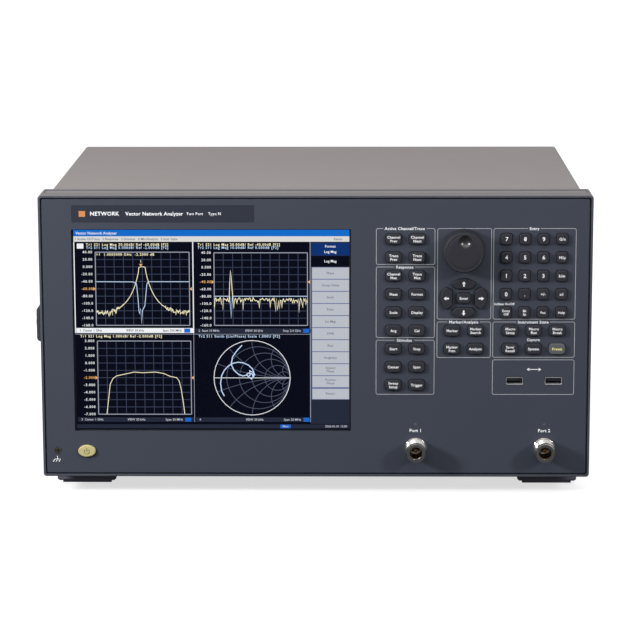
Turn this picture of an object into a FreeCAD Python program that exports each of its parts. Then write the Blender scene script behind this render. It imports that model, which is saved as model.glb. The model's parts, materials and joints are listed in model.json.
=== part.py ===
import FreeCAD, Part
import math
import os

# A full rack width bench network analyzer. All sizes are in millimetres.
# X runs to the right from the panel's centre, Y runs back from the front casting's face and Z runs up from
# the casting's lower edge. export() then moves everything so that the origin is under the middle, on the floor.

V = FreeCAD.Vector

# Casting, panel and covers
FRAME_W, FRAME_H, FRAME_D = 425.6, 221.5, 35.4
FRAME_WALL = 6.5
LIP = 1.7
PANEL_INSET = 2.9
TRIM_W, TRIM_YS, TRIM_DEPTH = 418.6, (16.0, 29.0), 1.7
PANEL_FRONT, PANEL_BACK = 0.6, 3.1
BODY_BACK = 312.0
COVER_W, COVER_DROP = 415.6, 2.1
SHEET = 1.5
BOTTOM_Z = 2.0
REAR_PLATE = 2.0

# Feet and strap
FOOT_H, FOOT_PAD_H = 15.1, 2.3
FOOT_X, FOOT_W, FOOT_PAD_W = 182.8, 46.5, 38.7
FOOT_L = 54.0
FOOT_FRONTS = (36.0, 240.0)
REAR_FOOT_L = 18.0
STRAP_Z, STRAP_CAP_H, STRAP_OUT = 111.4, 27.0, 14.0
STRAP_CAP_YS = ((48.0, 74.0), (262.0, 288.0))

# Display
DISPLAY_X, DISPLAY_Z = -80.1, 115.7
DISPLAY_OPENING = (215.0, 159.2)
ACTIVE_AREA = (212.4, 158.4)
BEZEL_BACK, WINDOW_BACK, MODULE_FRONT, MODULE_BACK = 3.9, 5.0, 5.3, 14.0

# Keys: openings in the panel, gap round each cap, and depths
WIDE_KEY, SQUARE_KEY, ENTER_KEY = (13.2, 9.2, 3.0), (9.4, 9.4, 2.4), (11.6, 9.0, 2.8)
KEY_GAP, KEY_FRONT, KEY_EDGE = 0.35, -2.0, 0.9
FLANGE_MARGIN, FLANGE_FRONT, FLANGE_BACK = 0.8, 3.6, 5.0
STEM_R, STEM_BACK = 2.0, 5.8
SWITCH_FRONT, BOARD_FRONT, BOARD_BACK = 7.1, 9.5, 11.1
ROW_TOP, ROW_PITCH = 187.9, 14.3
LEFT_COLUMNS = (60.1, 78.2)
MARKER_COLUMNS = (105.3, 123.4)
STATE_COLUMNS = (150.1, 168.2, 186.3)
NUMBER_COLUMNS = (146.6, 160.8, 175.0, 189.2)
NUMBER_KEYS = (("7", "8", "9", ""), ("4", "5", "6", ""), ("1", "2", "3", ""), ("0", "", "", ""))
NUMBER_ROWS = 5

# Navigation block
NAV_X, NAV_Z = 114.1, 141.8
ARROW_UPRIGHT, ARROW_SIDEWAYS, ARROW_CORNER = (20.2, 8.6, 7.0), (18.6, 10.2, 8.3), 1.8
KNOB_X, KNOB_Z = 113.6, 179.4
KNOB_BASE_R, KNOB_FACE_R, KNOB_FRONT, KNOB_REAR = 16.7, 15.1, -15.2, -0.3
KNOB_FACE_THICK, DIMPLE_R, DIMPLE_DEPTH, DIMPLE_OFFSET = 4.8, 6.0, 3.0, 8.3
SHAFT_R, BUSHING_BORE_R = 3.0, 3.06

# Lower strip
POWER_X, POWER_Z, POWER_W, POWER_H = -178.4, 20.6, 13.7, 9.3
GROUND_X, GROUND_Z = -201.4, 20.9
PORT_XS, PORT_Z, PORT_R, PORT_FRONT = (77.6, 177.4), 23.0, 7.94, -17.0
PORT_TAIL = 24.0
LAMP_Z, LAMP_R = 42.0, 0.9
USB_XS, USB_Z, USB_W, USB_H = (154.0, 184.1), 76.3, 13.1, 5.7

# Nameplate
NAME_X, NAME_Z, NAME_W, NAME_H = -116.9, 207.2, 140.1, 13.3

# Inside and rear
DECK_Z = 6.0
FAN_X, FAN_Z, FAN_SIZE, FAN_D = -120.0, 140.0, 80.0, 25.0
FAN_BORE_R, ROTOR_R, ROTOR_HUB_R = 38.2, 36.5, 16.0
INLET_X, INLET_Z = -150.0, 42.0
LAN_X, LAN_Z = 60.0, 97.0
COAX_XS, COAX_Z = (95.0, 120.0, 145.0), 140.0

# The middle of the whole object on the floor, in these coordinates
ORIGIN = V(
    (FRAME_W / 2 - COVER_W / 2 - STRAP_OUT) / 2,
    (PORT_FRONT + BODY_BACK + REAR_FOOT_L) / 2,
    -FOOT_H,
)


def box(xs, ys, zs):
    """A block between two X, two Y and two Z values."""
    low = V(min(xs), min(ys), min(zs))
    return Part.makeBox(max(xs) - min(xs), max(ys) - min(ys), max(zs) - min(zs), low)


def centred(x, z, width, height, ys):
    """A block with its middle at x, z in the front plane."""
    return box((x - width / 2, x + width / 2), ys, (z - height / 2, z + height / 2))


def rod(x, z, radius, ys):
    """A cylinder along Y."""
    return Part.makeCylinder(radius, max(ys) - min(ys), V(x, min(ys), z), V(0, 1, 0))


def turned(profile, x, z):
    """A ring or round body turned about a line along Y, from (radius, y) points."""
    points = [V(x + radius, y, z) for radius, y in profile]
    face = Part.Face(Part.makePolygon(points + points[:1]))
    return face.revolve(V(x, 0, z), V(0, 1, 0), 360)


def rounded_wire(x, z, width, height, radius, y):
    """A rectangle with round corners, in the plane at y."""
    a, b, d = width / 2 - radius, height / 2 - radius, radius / math.sqrt(2)
    edges = []
    corners = ((a, b, 1, 1), (-a, b, -1, 1), (-a, -b, -1, -1), (a, -b, 1, -1))
    ends = []
    for cx, cz, sx, sz in corners:
        side, top = V(x + cx + sx * radius, y, z + cz), V(x + cx, y, z + cz + sz * radius)
        first, last = (side, top) if sx * sz > 0 else (top, side)
        middle = V(x + cx + sx * d, y, z + cz + sz * d)
        edges.append(Part.Arc(first, middle, last).toShape())
        ends.append((first, last))
    for index, (_, last) in enumerate(ends):
        following = ends[(index + 1) % 4][0]
        if last.distanceToPoint(following) > 1e-6:
            edges.append(Part.makeLine(last, following))
    return Part.Wire(Part.__sortEdges__(edges))


def extruded(wire, depth):
    """The solid swept back from a flat outline."""
    return Part.Face(wire).extrude(V(0, depth, 0))


def plate(x, z, width, height, radius, ys):
    """A rounded plate facing the front."""
    return extruded(rounded_wire(x, z, width, height, radius, min(ys)), max(ys) - min(ys))


def soften(shape, y, radius):
    """Rounds the edges of a solid that lie in the plane at y."""
    edges = [e for e in shape.Edges if all(abs(v.Point.y - y) < 1e-6 for v in e.Vertexes)]
    return shape.makeFillet(radius, edges)


def ellipse(x, z, width, height, ys):
    """An elliptical button shape, width being the larger size."""
    curve = Part.Ellipse(V(x + width / 2, min(ys), z), V(x, min(ys), z + height / 2), V(x, min(ys), z))
    return extruded(Part.Wire([curve.toShape()]), max(ys) - min(ys))


def arrow_size(turn):
    """The length, width and distance from the block's middle of the arrow key at this angle."""
    return ARROW_UPRIGHT if turn % 180 == 0 else ARROW_SIDEWAYS


def arrow_block(turn, shrink, ys):
    """An arrow key's shape: flat towards the middle of the block, slanted shoulders and an arched outer side."""
    length, width, reach = arrow_size(turn)
    half, near, far = length / 2 - shrink, reach + shrink, reach + width - shrink
    flat, shoulder = half * 0.64, near + width * 0.46

    def at(side, out):
        angle = math.radians(turn)
        dx = side * math.cos(angle) + out * math.sin(angle)
        dz = -side * math.sin(angle) + out * math.cos(angle)
        return V(NAV_X + dx, min(ys), NAV_Z + dz)

    corners = [at(half, shoulder), at(flat, near), at(-flat, near), at(-half, shoulder)]
    edges = [Part.makeLine(p, q) for p, q in zip(corners, corners[1:])]
    edges.append(Part.Arc(corners[3], at(0, far), corners[0]).toShape())
    block = extruded(Part.Wire(edges), max(ys) - min(ys))
    depthwise = [e for e in block.Edges if e.BoundBox.YLength > 0.5 * (max(ys) - min(ys))]
    return block.makeFillet(ARROW_CORNER - shrink, depthwise)


def key_stem(x, z):
    return rod(x, z, STEM_R, (FLANGE_BACK - 0.1, STEM_BACK))


def key(x, z, size):
    """A key cap with its flange behind the panel and the stem that meets the switch."""
    width, height, radius = size
    cap_w, cap_h = width - 2 * KEY_GAP, height - 2 * KEY_GAP
    cap = soften(plate(x, z, cap_w, cap_h, radius, (KEY_FRONT, FLANGE_FRONT + 0.1)), KEY_FRONT, KEY_EDGE)
    flange = centred(x, z, width + 2 * FLANGE_MARGIN, height + 2 * FLANGE_MARGIN, (FLANGE_FRONT, FLANGE_BACK))
    return cap.fuse([flange, key_stem(x, z)]).removeSplitter()


def arrow_key(turn):
    cap = soften(arrow_block(turn, KEY_GAP, (KEY_FRONT, FLANGE_FRONT + 0.1)), KEY_FRONT, KEY_EDGE)
    flange = arrow_block(turn, -FLANGE_MARGIN, (FLANGE_FRONT, FLANGE_BACK))
    x, z = arrow_centre(turn)
    return cap.fuse([flange, key_stem(x, z)]).removeSplitter()


def arrow_centre(turn):
    _, width, near = arrow_size(turn)
    reach, angle = near + width / 2, math.radians(turn)
    return NAV_X + reach * math.sin(angle), NAV_Z + reach * math.cos(angle)


def key_places():
    """Every key but the arrows: node name to a list of (x, z, size)."""
    rows = [ROW_TOP - ROW_PITCH * n for n in range(9)]
    places = {
        "channel_keys": [(x, z, WIDE_KEY) for z in rows[:2] for x in LEFT_COLUMNS],
        "response_keys": [(x, z, WIDE_KEY) for z in rows[2:6] for x in LEFT_COLUMNS],
        "stimulus_keys": [(x, z, WIDE_KEY) for z in rows[6:9] for x in LEFT_COLUMNS],
        "marker_keys": [(x, z, WIDE_KEY) for z in rows[5:7] for x in MARKER_COLUMNS],
        "state_keys": [(x, z, WIDE_KEY) for z in rows[5:7] for x in STATE_COLUMNS],
        "enter_key": [(NAV_X, NAV_Z, ENTER_KEY)],
        "entry_function_keys": [],
    }
    places["preset_key"] = [places["state_keys"].pop()]
    for row in range(NUMBER_ROWS):
        for column, x in enumerate(NUMBER_COLUMNS):
            digit = NUMBER_KEYS[row][column] if row < len(NUMBER_KEYS) else ""
            name = "key_" + digit if digit else "entry_function_keys"
            places.setdefault(name, []).append((x, rows[row], SQUARE_KEY))
    return places


ARROWS = {"up_key": 0, "right_key": 90, "down_key": 180, "left_key": 270}


def front_frame():
    """The casting: a deep ring with a thin lip round the panel and a groove in its top for the trim strip."""
    ring = plate(0, FRAME_H / 2, FRAME_W, FRAME_H, 2.5, (0, FRAME_D))
    ring = soften(ring, 0, 0.7)
    pocket = plate(0, FRAME_H / 2, FRAME_W - 2 * LIP, FRAME_H - 2 * LIP, 1.5, (-1, PANEL_BACK))
    inside = plate(0, FRAME_H / 2, FRAME_W - 2 * FRAME_WALL, FRAME_H - 2 * FRAME_WALL, 2, (-1, FRAME_D + 1))
    return ring.cut([pocket, inside, trim_block(0.3, FRAME_H + 1)])


def trim_block(gap, top):
    """The strip that lies in the casting's top groove, grown by a gap all round."""
    half, ys = TRIM_W / 2 + gap, (TRIM_YS[0] - gap, TRIM_YS[1] + gap)
    return box((-half, half), ys, (FRAME_H - TRIM_DEPTH, top))


def top_trim_strip():
    return trim_block(0, FRAME_H - 0.4)


def front_panel():
    """The panel plate with an opening for everything that reaches through it."""
    middle = FRAME_H / 2
    width, height = FRAME_W - 2 * PANEL_INSET, FRAME_H - 2 * PANEL_INSET
    sheet = soften(plate(0, middle, width, height, 1.2, (PANEL_FRONT, PANEL_BACK)), PANEL_FRONT, 0.4)
    through = (PANEL_FRONT - 1, PANEL_BACK + 1)
    holes = [plate(DISPLAY_X, DISPLAY_Z, *DISPLAY_OPENING, 0.8, through)]
    for places in key_places().values():
        holes += [plate(x, z, *size, through) for x, z, size in places]
    holes += [arrow_block(turn, 0, through) for turn in ARROWS.values()]
    holes += [plate(x, USB_Z, USB_W + 1.0, USB_H + 1.0, 0.6, through) for x in USB_XS]
    holes += [rod(x, PORT_Z, 6.6, through) for x in PORT_XS]
    holes += [rod(x, LAMP_Z, LAMP_R + 0.05, through) for x in PORT_XS]
    holes += [rod(KNOB_X, KNOB_Z, 4.6, through), rod(GROUND_X, GROUND_Z, 2.85, through)]
    holes.append(ellipse(POWER_X, POWER_Z, POWER_W + 0.7, POWER_H + 0.7, through))
    holes.append(plate(NAME_X, NAME_Z, NAME_W, NAME_H, 0.6, (PANEL_FRONT - 1, PANEL_FRONT + 0.6)))
    return sheet.cut(holes)


def nameplate():
    return plate(NAME_X, NAME_Z, NAME_W - 0.2, NAME_H - 0.2, 0.5, (PANEL_FRONT + 0.15, PANEL_FRONT + 0.6))


def display_bezel():
    outer = centred(DISPLAY_X, DISPLAY_Z, 222, 166, (PANEL_BACK, BEZEL_BACK))
    return outer.cut(centred(DISPLAY_X, DISPLAY_Z, *ACTIVE_AREA, (PANEL_BACK - 1, BEZEL_BACK + 1)))


def display_window():
    return centred(DISPLAY_X, DISPLAY_Z, 220, 165, (BEZEL_BACK, WINDOW_BACK))


def display_module():
    """The display's own tray with the lamp housing behind it."""
    tray = centred(DISPLAY_X, DISPLAY_Z, 226, 170, (MODULE_FRONT, MODULE_BACK))
    back = centred(DISPLAY_X, DISPLAY_Z, 190, 120, (MODULE_BACK - 0.1, MODULE_BACK + 6))
    return tray.fuse(back).removeSplitter()


def front_boards():
    """The key board with a switch behind each key, and the small board of the power switch."""
    switches = [centred(x, z, 6, 6, (SWITCH_FRONT, BOARD_FRONT + 0.1)) for x, z in switch_places()]
    board = box((48, 200), (BOARD_FRONT, BOARD_BACK), (62, 197))
    board = board.cut(centred(KNOB_X, KNOB_Z, 24, 24, (BOARD_FRONT - 1, BOARD_BACK + 1)))
    for x in USB_XS:
        board = board.cut(centred(x, USB_Z, USB_W + 4, USB_H + 4, (BOARD_FRONT - 1, BOARD_BACK + 1)))
    power = centred(POWER_X, POWER_Z, 34, 16, (BOARD_FRONT, BOARD_BACK))
    power_switch = centred(POWER_X, POWER_Z, 6, 6, (SWITCH_FRONT, BOARD_FRONT + 0.1))
    return [board.fuse(switches).removeSplitter(), power.fuse(power_switch).removeSplitter()]


def switch_places():
    places = [(x, z) for keys in key_places().values() for x, z, _ in keys]
    return places + [arrow_centre(turn) for turn in ARROWS.values()]


def knob_encoder():
    """The encoder's housing and its threaded bushing, which the nut clamps to the panel."""
    housing = centred(KNOB_X, KNOB_Z, 16, 16, (5, 14))
    bushing = rod(KNOB_X, KNOB_Z, 4.5, (-4, 5.1))
    bore = rod(KNOB_X, KNOB_Z, BUSHING_BORE_R, (-5, 13))
    nut = rod(KNOB_X, KNOB_Z, 6.5, (-1.9, PANEL_FRONT)).cut(rod(KNOB_X, KNOB_Z, 4.5, (-3, 2)))
    return [housing.fuse(bushing).removeSplitter().cut(bore), nut]


def rotary_knob():
    """The knob with a finger dimple in its face and a hub on the encoder's shaft."""
    inner = KNOB_FRONT + KNOB_FACE_THICK
    skirt = [(0, KNOB_FRONT), (KNOB_FACE_R - 0.8, KNOB_FRONT), (KNOB_FACE_R, KNOB_FRONT + 0.8)]
    skirt += [(KNOB_BASE_R, KNOB_REAR - 1.2), (KNOB_BASE_R, KNOB_REAR), (KNOB_BASE_R - 2, KNOB_REAR)]
    skirt += [(KNOB_FACE_R - 2.2, inner), (6.5, inner), (6.5, -5)]
    skirt += [(SHAFT_R, -5), (SHAFT_R, inner + 0.4), (0, inner + 0.4)]
    shell = turned(skirt, KNOB_X, KNOB_Z)
    ball_y = KNOB_FRONT + DIMPLE_DEPTH - DIMPLE_R
    dimple = Part.makeSphere(DIMPLE_R, V(KNOB_X + 0.7, ball_y, KNOB_Z + DIMPLE_OFFSET))
    shaft = rod(KNOB_X, KNOB_Z, SHAFT_R, (inner + 0.4, 12.5))
    return [shell.cut(dimple), shaft]


def power_button():
    cap = soften(ellipse(POWER_X, POWER_Z, POWER_W, POWER_H, (-1.6, FLANGE_FRONT + 0.1)), -1.6, 0.8)
    flange = centred(POWER_X, POWER_Z, POWER_W + 2.4, POWER_H + 2, (FLANGE_FRONT, FLANGE_BACK))
    return cap.fuse([flange, key_stem(POWER_X, POWER_Z)]).removeSplitter()


def usb_shells():
    shells = []
    for x in USB_XS:
        outer = plate(x, USB_Z, USB_W, USB_H, 0.5, (PANEL_FRONT + 0.3, 14.5))
        shells.append(outer.cut(plate(x, USB_Z, USB_W - 0.6, USB_H - 0.6, 0.3, (-1, 14))))
    return shells


def usb_tongues():
    tongues = []
    for x in USB_XS:
        tongue = centred(x, USB_Z + 0.9, 11.1, 1.9, (1.6, 12))
        block = centred(x, USB_Z, USB_W - 0.8, USB_H - 0.8, (11.9, 13.9))
        tongues.append(tongue.fuse(block).removeSplitter())
    return tongues


def port_connectors():
    """Each test port: the coupling barrel, its base flange, the body behind the panel and its nut."""
    solids = []
    front = [(4.6, PORT_FRONT), (PORT_R - 0.6, PORT_FRONT), (PORT_R, PORT_FRONT + 0.6), (PORT_R, -3.4)]
    base = [(7.1, -3.4), (7.1, -2.2), (8.7, -2.2), (8.7, PANEL_FRONT), (6.5, PANEL_FRONT), (6.5, PORT_TAIL)]
    inner = [(1.8, PORT_TAIL), (1.8, 20), (4.0, 20), (4.0, 2), (4.6, 2)]
    for x in PORT_XS:
        solids.append(turned(front + base + inner, x, PORT_Z))
        nut = turned([(6.5, PANEL_BACK), (9.6, PANEL_BACK), (9.6, 6.6), (6.5, 6.6)], x, PORT_Z)
        solids.append(nut)
    return solids


def port_insulators():
    return [turned([(1.5, 2), (4.0, 2), (4.0, 20), (1.5, 20)], x, PORT_Z) for x in PORT_XS]


def port_contacts():
    """The centre contact of each port, a slotted tube at its front end."""
    contacts = []
    for x in PORT_XS:
        pin = rod(x, PORT_Z, 1.5, (-11, PORT_TAIL))
        slots = [centred(x, PORT_Z, 4, 0.3, (-12, -4)), centred(x, PORT_Z, 0.3, 4, (-12, -4))]
        contacts.append(pin.cut(rod(x, PORT_Z, 0.85, (-12, -2))).cut(slots))
    return contacts


def port_cables():
    return [rod(x, PORT_Z, 1.8, (PORT_TAIL, 60)) for x in PORT_XS]


def port_lamps():
    return [rod(x, LAMP_Z, LAMP_R, (PANEL_FRONT - 0.1, 6)) for x in PORT_XS]


def ground_jack():
    ring = [(2.05, 0.2), (2.75, 0.2), (2.75, PANEL_BACK), (4.5, PANEL_BACK), (4.5, 6), (3.0, 6), (3.0, 18)]
    return turned(ring + [(0, 18), (0, 15), (2.05, 15)], GROUND_X, GROUND_Z)


def top_cover():
    """A sheet bent over the top and both sides, with vent slots in its right side."""
    top = FRAME_H - COVER_DROP
    middle, height = (top + BOTTOM_Z) / 2, top - BOTTOM_Z
    ys = (FRAME_D, BODY_BACK)
    outer = plate(0, middle, COVER_W, height, 3.0, ys)
    inner = plate(0, middle, COVER_W - 2 * SHEET, height - 2 * SHEET, 1.5, (ys[0] - 1, ys[1] + 1))
    under = box((-COVER_W, COVER_W), (ys[0] - 1, ys[1] + 1), (BOTTOM_Z - 1, BOTTOM_Z + 6))
    vents = []
    for column in range(16):
        y = 90 + 12.0 * column
        for z in (60, 92, 124):
            vents.append(box((COVER_W / 2 - 5, COVER_W / 2 + 5), (y, y + 4), (z, z + 24)))
    return outer.cut([inner, under] + vents)


def bottom_cover():
    """The lower sheet, with a short upturned edge inside each side of the top cover."""
    half = COVER_W / 2 - SHEET - 0.2
    ys = (FRAME_D, BODY_BACK)
    floor = box((-half, half), ys, (BOTTOM_Z, BOTTOM_Z + SHEET))
    edges = [box((side * half, side * (half - SHEET)), ys, (BOTTOM_Z, BOTTOM_Z + 16)) for side in (-1, 1)]
    return floor.fuse(edges).removeSplitter()


def rear_screw_places():
    return [(x, z) for z in (210.0, 14.0) for x in (-187.0, -62.0, 62.0, 187.0)]


def rear_panel():
    """The rear plate, with the fan's grille and openings for the sockets."""
    half = COVER_W / 2 - 2 * SHEET - 0.4
    top = FRAME_H - COVER_DROP - SHEET - 0.2
    ys = (BODY_BACK - REAR_PLATE, BODY_BACK)
    through = (ys[0] - 1, ys[1] + 1)
    sheet = box((-half, half), ys, (BOTTOM_Z + SHEET + 0.2, top))
    holes = [centred(INLET_X, INLET_Z, 30.6, 22.6, through)]
    for ring, count in ((8, 6), (15, 12), (22, 18), (29, 24), (35, 30)):
        for index in range(count):
            angle = 2 * math.pi * index / count
            x, z = FAN_X + ring * math.cos(angle), FAN_Z + ring * math.sin(angle)
            holes.append(rod(x, z, 2.4, through))
    holes.append(centred(LAN_X, LAN_Z + 1.75, 17.0, 14.5, through))
    holes += [centred(LAN_X + 26 + 18 * n, LAN_Z + 1.5, 14.0, 8.0, through) for n in range(2)]
    holes += [rod(x, COAX_Z, 4.8, through) for x in COAX_XS]
    holes += [rod(x, z, 2.0, through) for x, z in rear_screw_places()]
    for row in range(5):
        holes += [plate(-20 + 12 * n, 160 + 9 * row, 9, 3, 1.4, through) for n in range(14)]
    return sheet.cut(holes)


def cover_screws():
    """Pan head screws of the rear plate, each with a slot across a cross."""
    screws = []
    for x, z in rear_screw_places():
        head = soften(rod(x, z, 3.6, (BODY_BACK, BODY_BACK + 2.2)), BODY_BACK + 2.2, 0.8)
        slots = [centred(x, z, 4.2, 0.8, (BODY_BACK + 1.2, BODY_BACK + 3))]
        slots.append(centred(x, z, 0.8, 4.2, (BODY_BACK + 1.2, BODY_BACK + 3)))
        shank = rod(x, z, 1.95, (BODY_BACK - 6, BODY_BACK + 0.1))
        screws.append(head.fuse(shank).removeSplitter().cut(slots))
    return screws


def rear_feet():
    """Stand-off blocks on the rear corners, which guard the sockets and let it stand on its back."""
    feet = []
    for x in (-190, 190):
        for z in (36, 186):
            block = plate(x, z, 30, 18, 4, (BODY_BACK, BODY_BACK + REAR_FOOT_L))
            feet.append(soften(block, BODY_BACK + REAR_FOOT_L, 1.5))
    return feet


def bottom_foot(x, front):
    """A moulded foot: a broad upper block over a narrower pad."""
    ys = (front, front + FOOT_L)
    upper = box((x - FOOT_W / 2, x + FOOT_W / 2), ys, (FOOT_PAD_H - FOOT_H, BOTTOM_Z))
    lengthwise = [e for e in upper.Edges if abs(e.BoundBox.ZMax - (FOOT_PAD_H - FOOT_H)) < 1e-6]
    upper = upper.makeChamfer(1.5, lengthwise)
    pad_ys = (front + 3.5, front + FOOT_L - 3.5)
    pad = box((x - FOOT_PAD_W / 2, x + FOOT_PAD_W / 2), pad_ys, (-FOOT_H, FOOT_PAD_H - FOOT_H + 0.1))
    low = [e for e in pad.Edges if abs(e.BoundBox.ZMax + FOOT_H) < 1e-6]
    return upper.fuse(pad.makeFillet(0.6, low)).removeSplitter()


# The folding wire stand of a front foot
STAND_Y, STAND_Z, STAND_R = FOOT_FRONTS[0] + 9.0, -6.0, 1.5
STAND_HALF, STAND_REACH, STAND_PIN = 12.0, 33.0, 6.0


def stand_pocket(x):
    """The room under a front foot where the wire stand folds in."""
    pocket = box((x - 14.5, x + 14.5), (STAND_Y - 5, STAND_Y + STAND_REACH + 3), (-FOOT_H - 1, -3.0))
    holes = Part.makeCylinder(STAND_R + 0.05, 40, V(x - 20, STAND_Y, STAND_Z), V(1, 0, 0))
    return [pocket, holes]


def bottom_feet():
    feet = []
    for x in (-FOOT_X, FOOT_X):
        feet.append(bottom_foot(x, FOOT_FRONTS[0]).cut(stand_pocket(x)))
        feet.append(bottom_foot(x, FOOT_FRONTS[1]))
    return feet


def tilt_stand(x):
    """A bent wire: pivot ends in the foot's side walls, two legs and a cross bar."""
    bend = 4.0
    y0, y1, z = STAND_Y, STAND_Y + STAND_REACH, STAND_Z
    a, b = x - STAND_HALF, x + STAND_HALF
    pieces = [Part.makeLine(V(a - STAND_PIN, y0, z), V(a, y0, z)), Part.makeLine(V(a, y0, z), V(a, y1 - bend, z))]
    d = bend * (1 - 1 / math.sqrt(2))
    pieces.append(Part.Arc(V(a, y1 - bend, z), V(a + d, y1 - d, z), V(a + bend, y1, z)).toShape())
    pieces.append(Part.makeLine(V(a + bend, y1, z), V(b - bend, y1, z)))
    pieces.append(Part.Arc(V(b - bend, y1, z), V(b - d, y1 - d, z), V(b, y1 - bend, z)).toShape())
    pieces += [Part.makeLine(V(b, y1 - bend, z), V(b, y0, z)), Part.makeLine(V(b, y0, z), V(b + STAND_PIN, y0, z))]
    start = Part.makeCircle(STAND_R, V(a - STAND_PIN, y0, z), V(1, 0, 0))
    return Part.Wire(pieces).makePipeShell([Part.Wire([start])], True, False, 2)


def handle_caps():
    """The moulded ends that hold the carrying strap to the left side."""
    caps = []
    side = -COVER_W / 2
    for y0, y1 in STRAP_CAP_YS:
        block = box((side - STRAP_OUT, side), (y0, y1), (STRAP_Z - STRAP_CAP_H / 2, STRAP_Z + STRAP_CAP_H / 2))
        outer = [e for e in block.Edges if e.BoundBox.XMax < side - STRAP_OUT + 1e-6]
        caps.append(block.makeFillet(3.0, outer))
    return caps


def handle_strap():
    x0 = -COVER_W / 2 - STRAP_OUT + 4.3
    return box((x0, x0 + 3.4), (STRAP_CAP_YS[0][1], STRAP_CAP_YS[1][0]), (STRAP_Z - 9.5, STRAP_Z + 9.5))


def chassis_deck():
    """The folded tray that carries everything inside."""
    ys = (FRAME_D, BODY_BACK - REAR_PLATE)
    floor = box((-195, 195), ys, (DECK_Z, DECK_Z + SHEET))
    sides = [box((side * 195, side * (195 - SHEET)), ys, (DECK_Z, DECK_Z + 60)) for side in (-1, 1)]
    return floor.fuse(sides).removeSplitter()


def power_supply():
    """The supply's sheet box, hollow, with pressed grooves in its lid."""
    top, wall = DECK_Z + SHEET, 2.5
    case = box((-190, -40), (120, 282), (top, top + 65))
    room = box((-190 + wall, -40 - wall), (120 + wall, 282 - wall), (top + wall, top + 65 - wall))
    grooves = [box((-180 + 12 * n, -174 + 12 * n), (140, 262), (top + 64, top + 66)) for n in range(12)]
    return case.cut([room] + grooves)


def microwave_module():
    """The finned casting that holds the source and the receivers."""
    top = DECK_Z + SHEET
    case = box((45, 190), (60, 262), (top, top + 48))
    grooves = [box((55 + 10 * n, 60 + 10 * n), (66, 256), (top + 40, top + 49)) for n in range(13)]
    return case.cut(grooves)


def processor_board():
    """The main board on four posts over the microwave module, with its heat sink."""
    top = DECK_Z + SHEET + 48
    board = box((30, 192), (64, 296), (LAN_Z - 6.6, LAN_Z - 5))
    posts = [rod_up(x, y, 3, (top, LAN_Z - 6.5)) for x in (50, 185) for y in (72, 252)]
    sink = box((85, 145), (130, 190), (LAN_Z - 5.1, LAN_Z + 20))
    fins = [box((88 + 6 * n, 91 + 6 * n), (129, 191), (LAN_Z, LAN_Z + 21)) for n in range(9)]
    return board.fuse(posts + [sink.cut(fins)]).removeSplitter()


def rod_up(x, y, radius, zs):
    return Part.makeCylinder(radius, zs[1] - zs[0], V(x, y, zs[0]))


def fan_frame():
    """The fan's square housing, with four arms to the bearing at its rear."""
    ys = (BODY_BACK - REAR_PLATE - FAN_D, BODY_BACK - REAR_PLATE)
    case = plate(FAN_X, FAN_Z, FAN_SIZE, FAN_SIZE, 4, ys).cut(rod(FAN_X, FAN_Z, FAN_BORE_R, (ys[0] - 1, ys[1] + 1)))
    arm_ys = (ys[1] - 3, ys[1])
    arms = [centred(FAN_X, FAN_Z, 2 * FAN_BORE_R + 1, 4, arm_ys), centred(FAN_X, FAN_Z, 4, 2 * FAN_BORE_R + 1, arm_ys)]
    hub = rod(FAN_X, FAN_Z, 15, arm_ys)
    return case.fuse(arms + [hub]).removeSplitter().cut(rod(FAN_X, FAN_Z, 1.56, (ys[0], ys[1] - 0.6)))


def fan_rotor():
    """The hub with seven pitched blades and its shaft."""
    front, back = BODY_BACK - REAR_PLATE - FAN_D + 2, BODY_BACK - REAR_PLATE - 5
    middle = (front + back) / 2
    hub = rod(FAN_X, FAN_Z, ROTOR_HUB_R, (front, back))
    shaft = rod(FAN_X, FAN_Z, 1.5, (back - 0.1, back + 3.8))
    blades = []
    for index in range(7):
        reach = ROTOR_R - ROTOR_HUB_R + 1.5
        blade = Part.makeBox(reach, 1.4, 20, V(ROTOR_HUB_R - 1.5, -0.7, -10))
        blade.rotate(V(0, 0, 0), V(1, 0, 0), 52)
        blade.rotate(V(0, 0, 0), V(0, 1, 0), 360 / 7 * index)
        blade.translate(V(FAN_X, middle, FAN_Z))
        blades.append(blade)
    return hub.fuse(blades + [shaft]).removeSplitter()


def power_inlet():
    """The mains inlet: a flange on the rear plate, a cavity and three blades."""
    flange = plate(INLET_X, INLET_Z, 48, 27, 4, (BODY_BACK, BODY_BACK + 2.5))
    body = centred(INLET_X, INLET_Z, 30, 22, (BODY_BACK - 24, BODY_BACK + 0.1))
    cavity = plate(INLET_X, INLET_Z, 25, 17, 3, (BODY_BACK - 17, BODY_BACK + 4))
    shell = body.fuse(flange).removeSplitter().cut(cavity)
    blades = []
    for x, z in ((-7, -1.5), (0, 2.5), (7, -1.5)):
        blades.append(centred(INLET_X + x, INLET_Z + z, 2, 4, (BODY_BACK - 17.1, BODY_BACK - 3.5)))
    return shell.fuse(blades).removeSplitter()


def rear_coax_connectors():
    """Round coaxial sockets for the reference and trigger signals, each with two bayonet lugs."""
    connectors = []
    for x in COAX_XS:
        back = BODY_BACK
        profile = [(0, back - 12), (4.7, back - 12), (4.7, back), (6.8, back), (6.8, back + 1.5), (4.8, back + 1.5)]
        profile += [(4.8, back + 12), (4.1, back + 12), (4.1, back + 3), (0, back + 3)]
        barrel = turned(profile, x, COAX_Z)
        lugs = Part.makeCylinder(1.0, 11.6, V(x - 5.8, back + 8, COAX_Z), V(1, 0, 0))
        lugs = lugs.cut(rod(x, COAX_Z, 4.5, (back, back + 12)))
        pin = rod(x, COAX_Z, 1.1, (back + 2.9, back + 9))
        connectors.append(barrel.fuse([lugs, pin]).removeSplitter())
    return connectors


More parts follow.
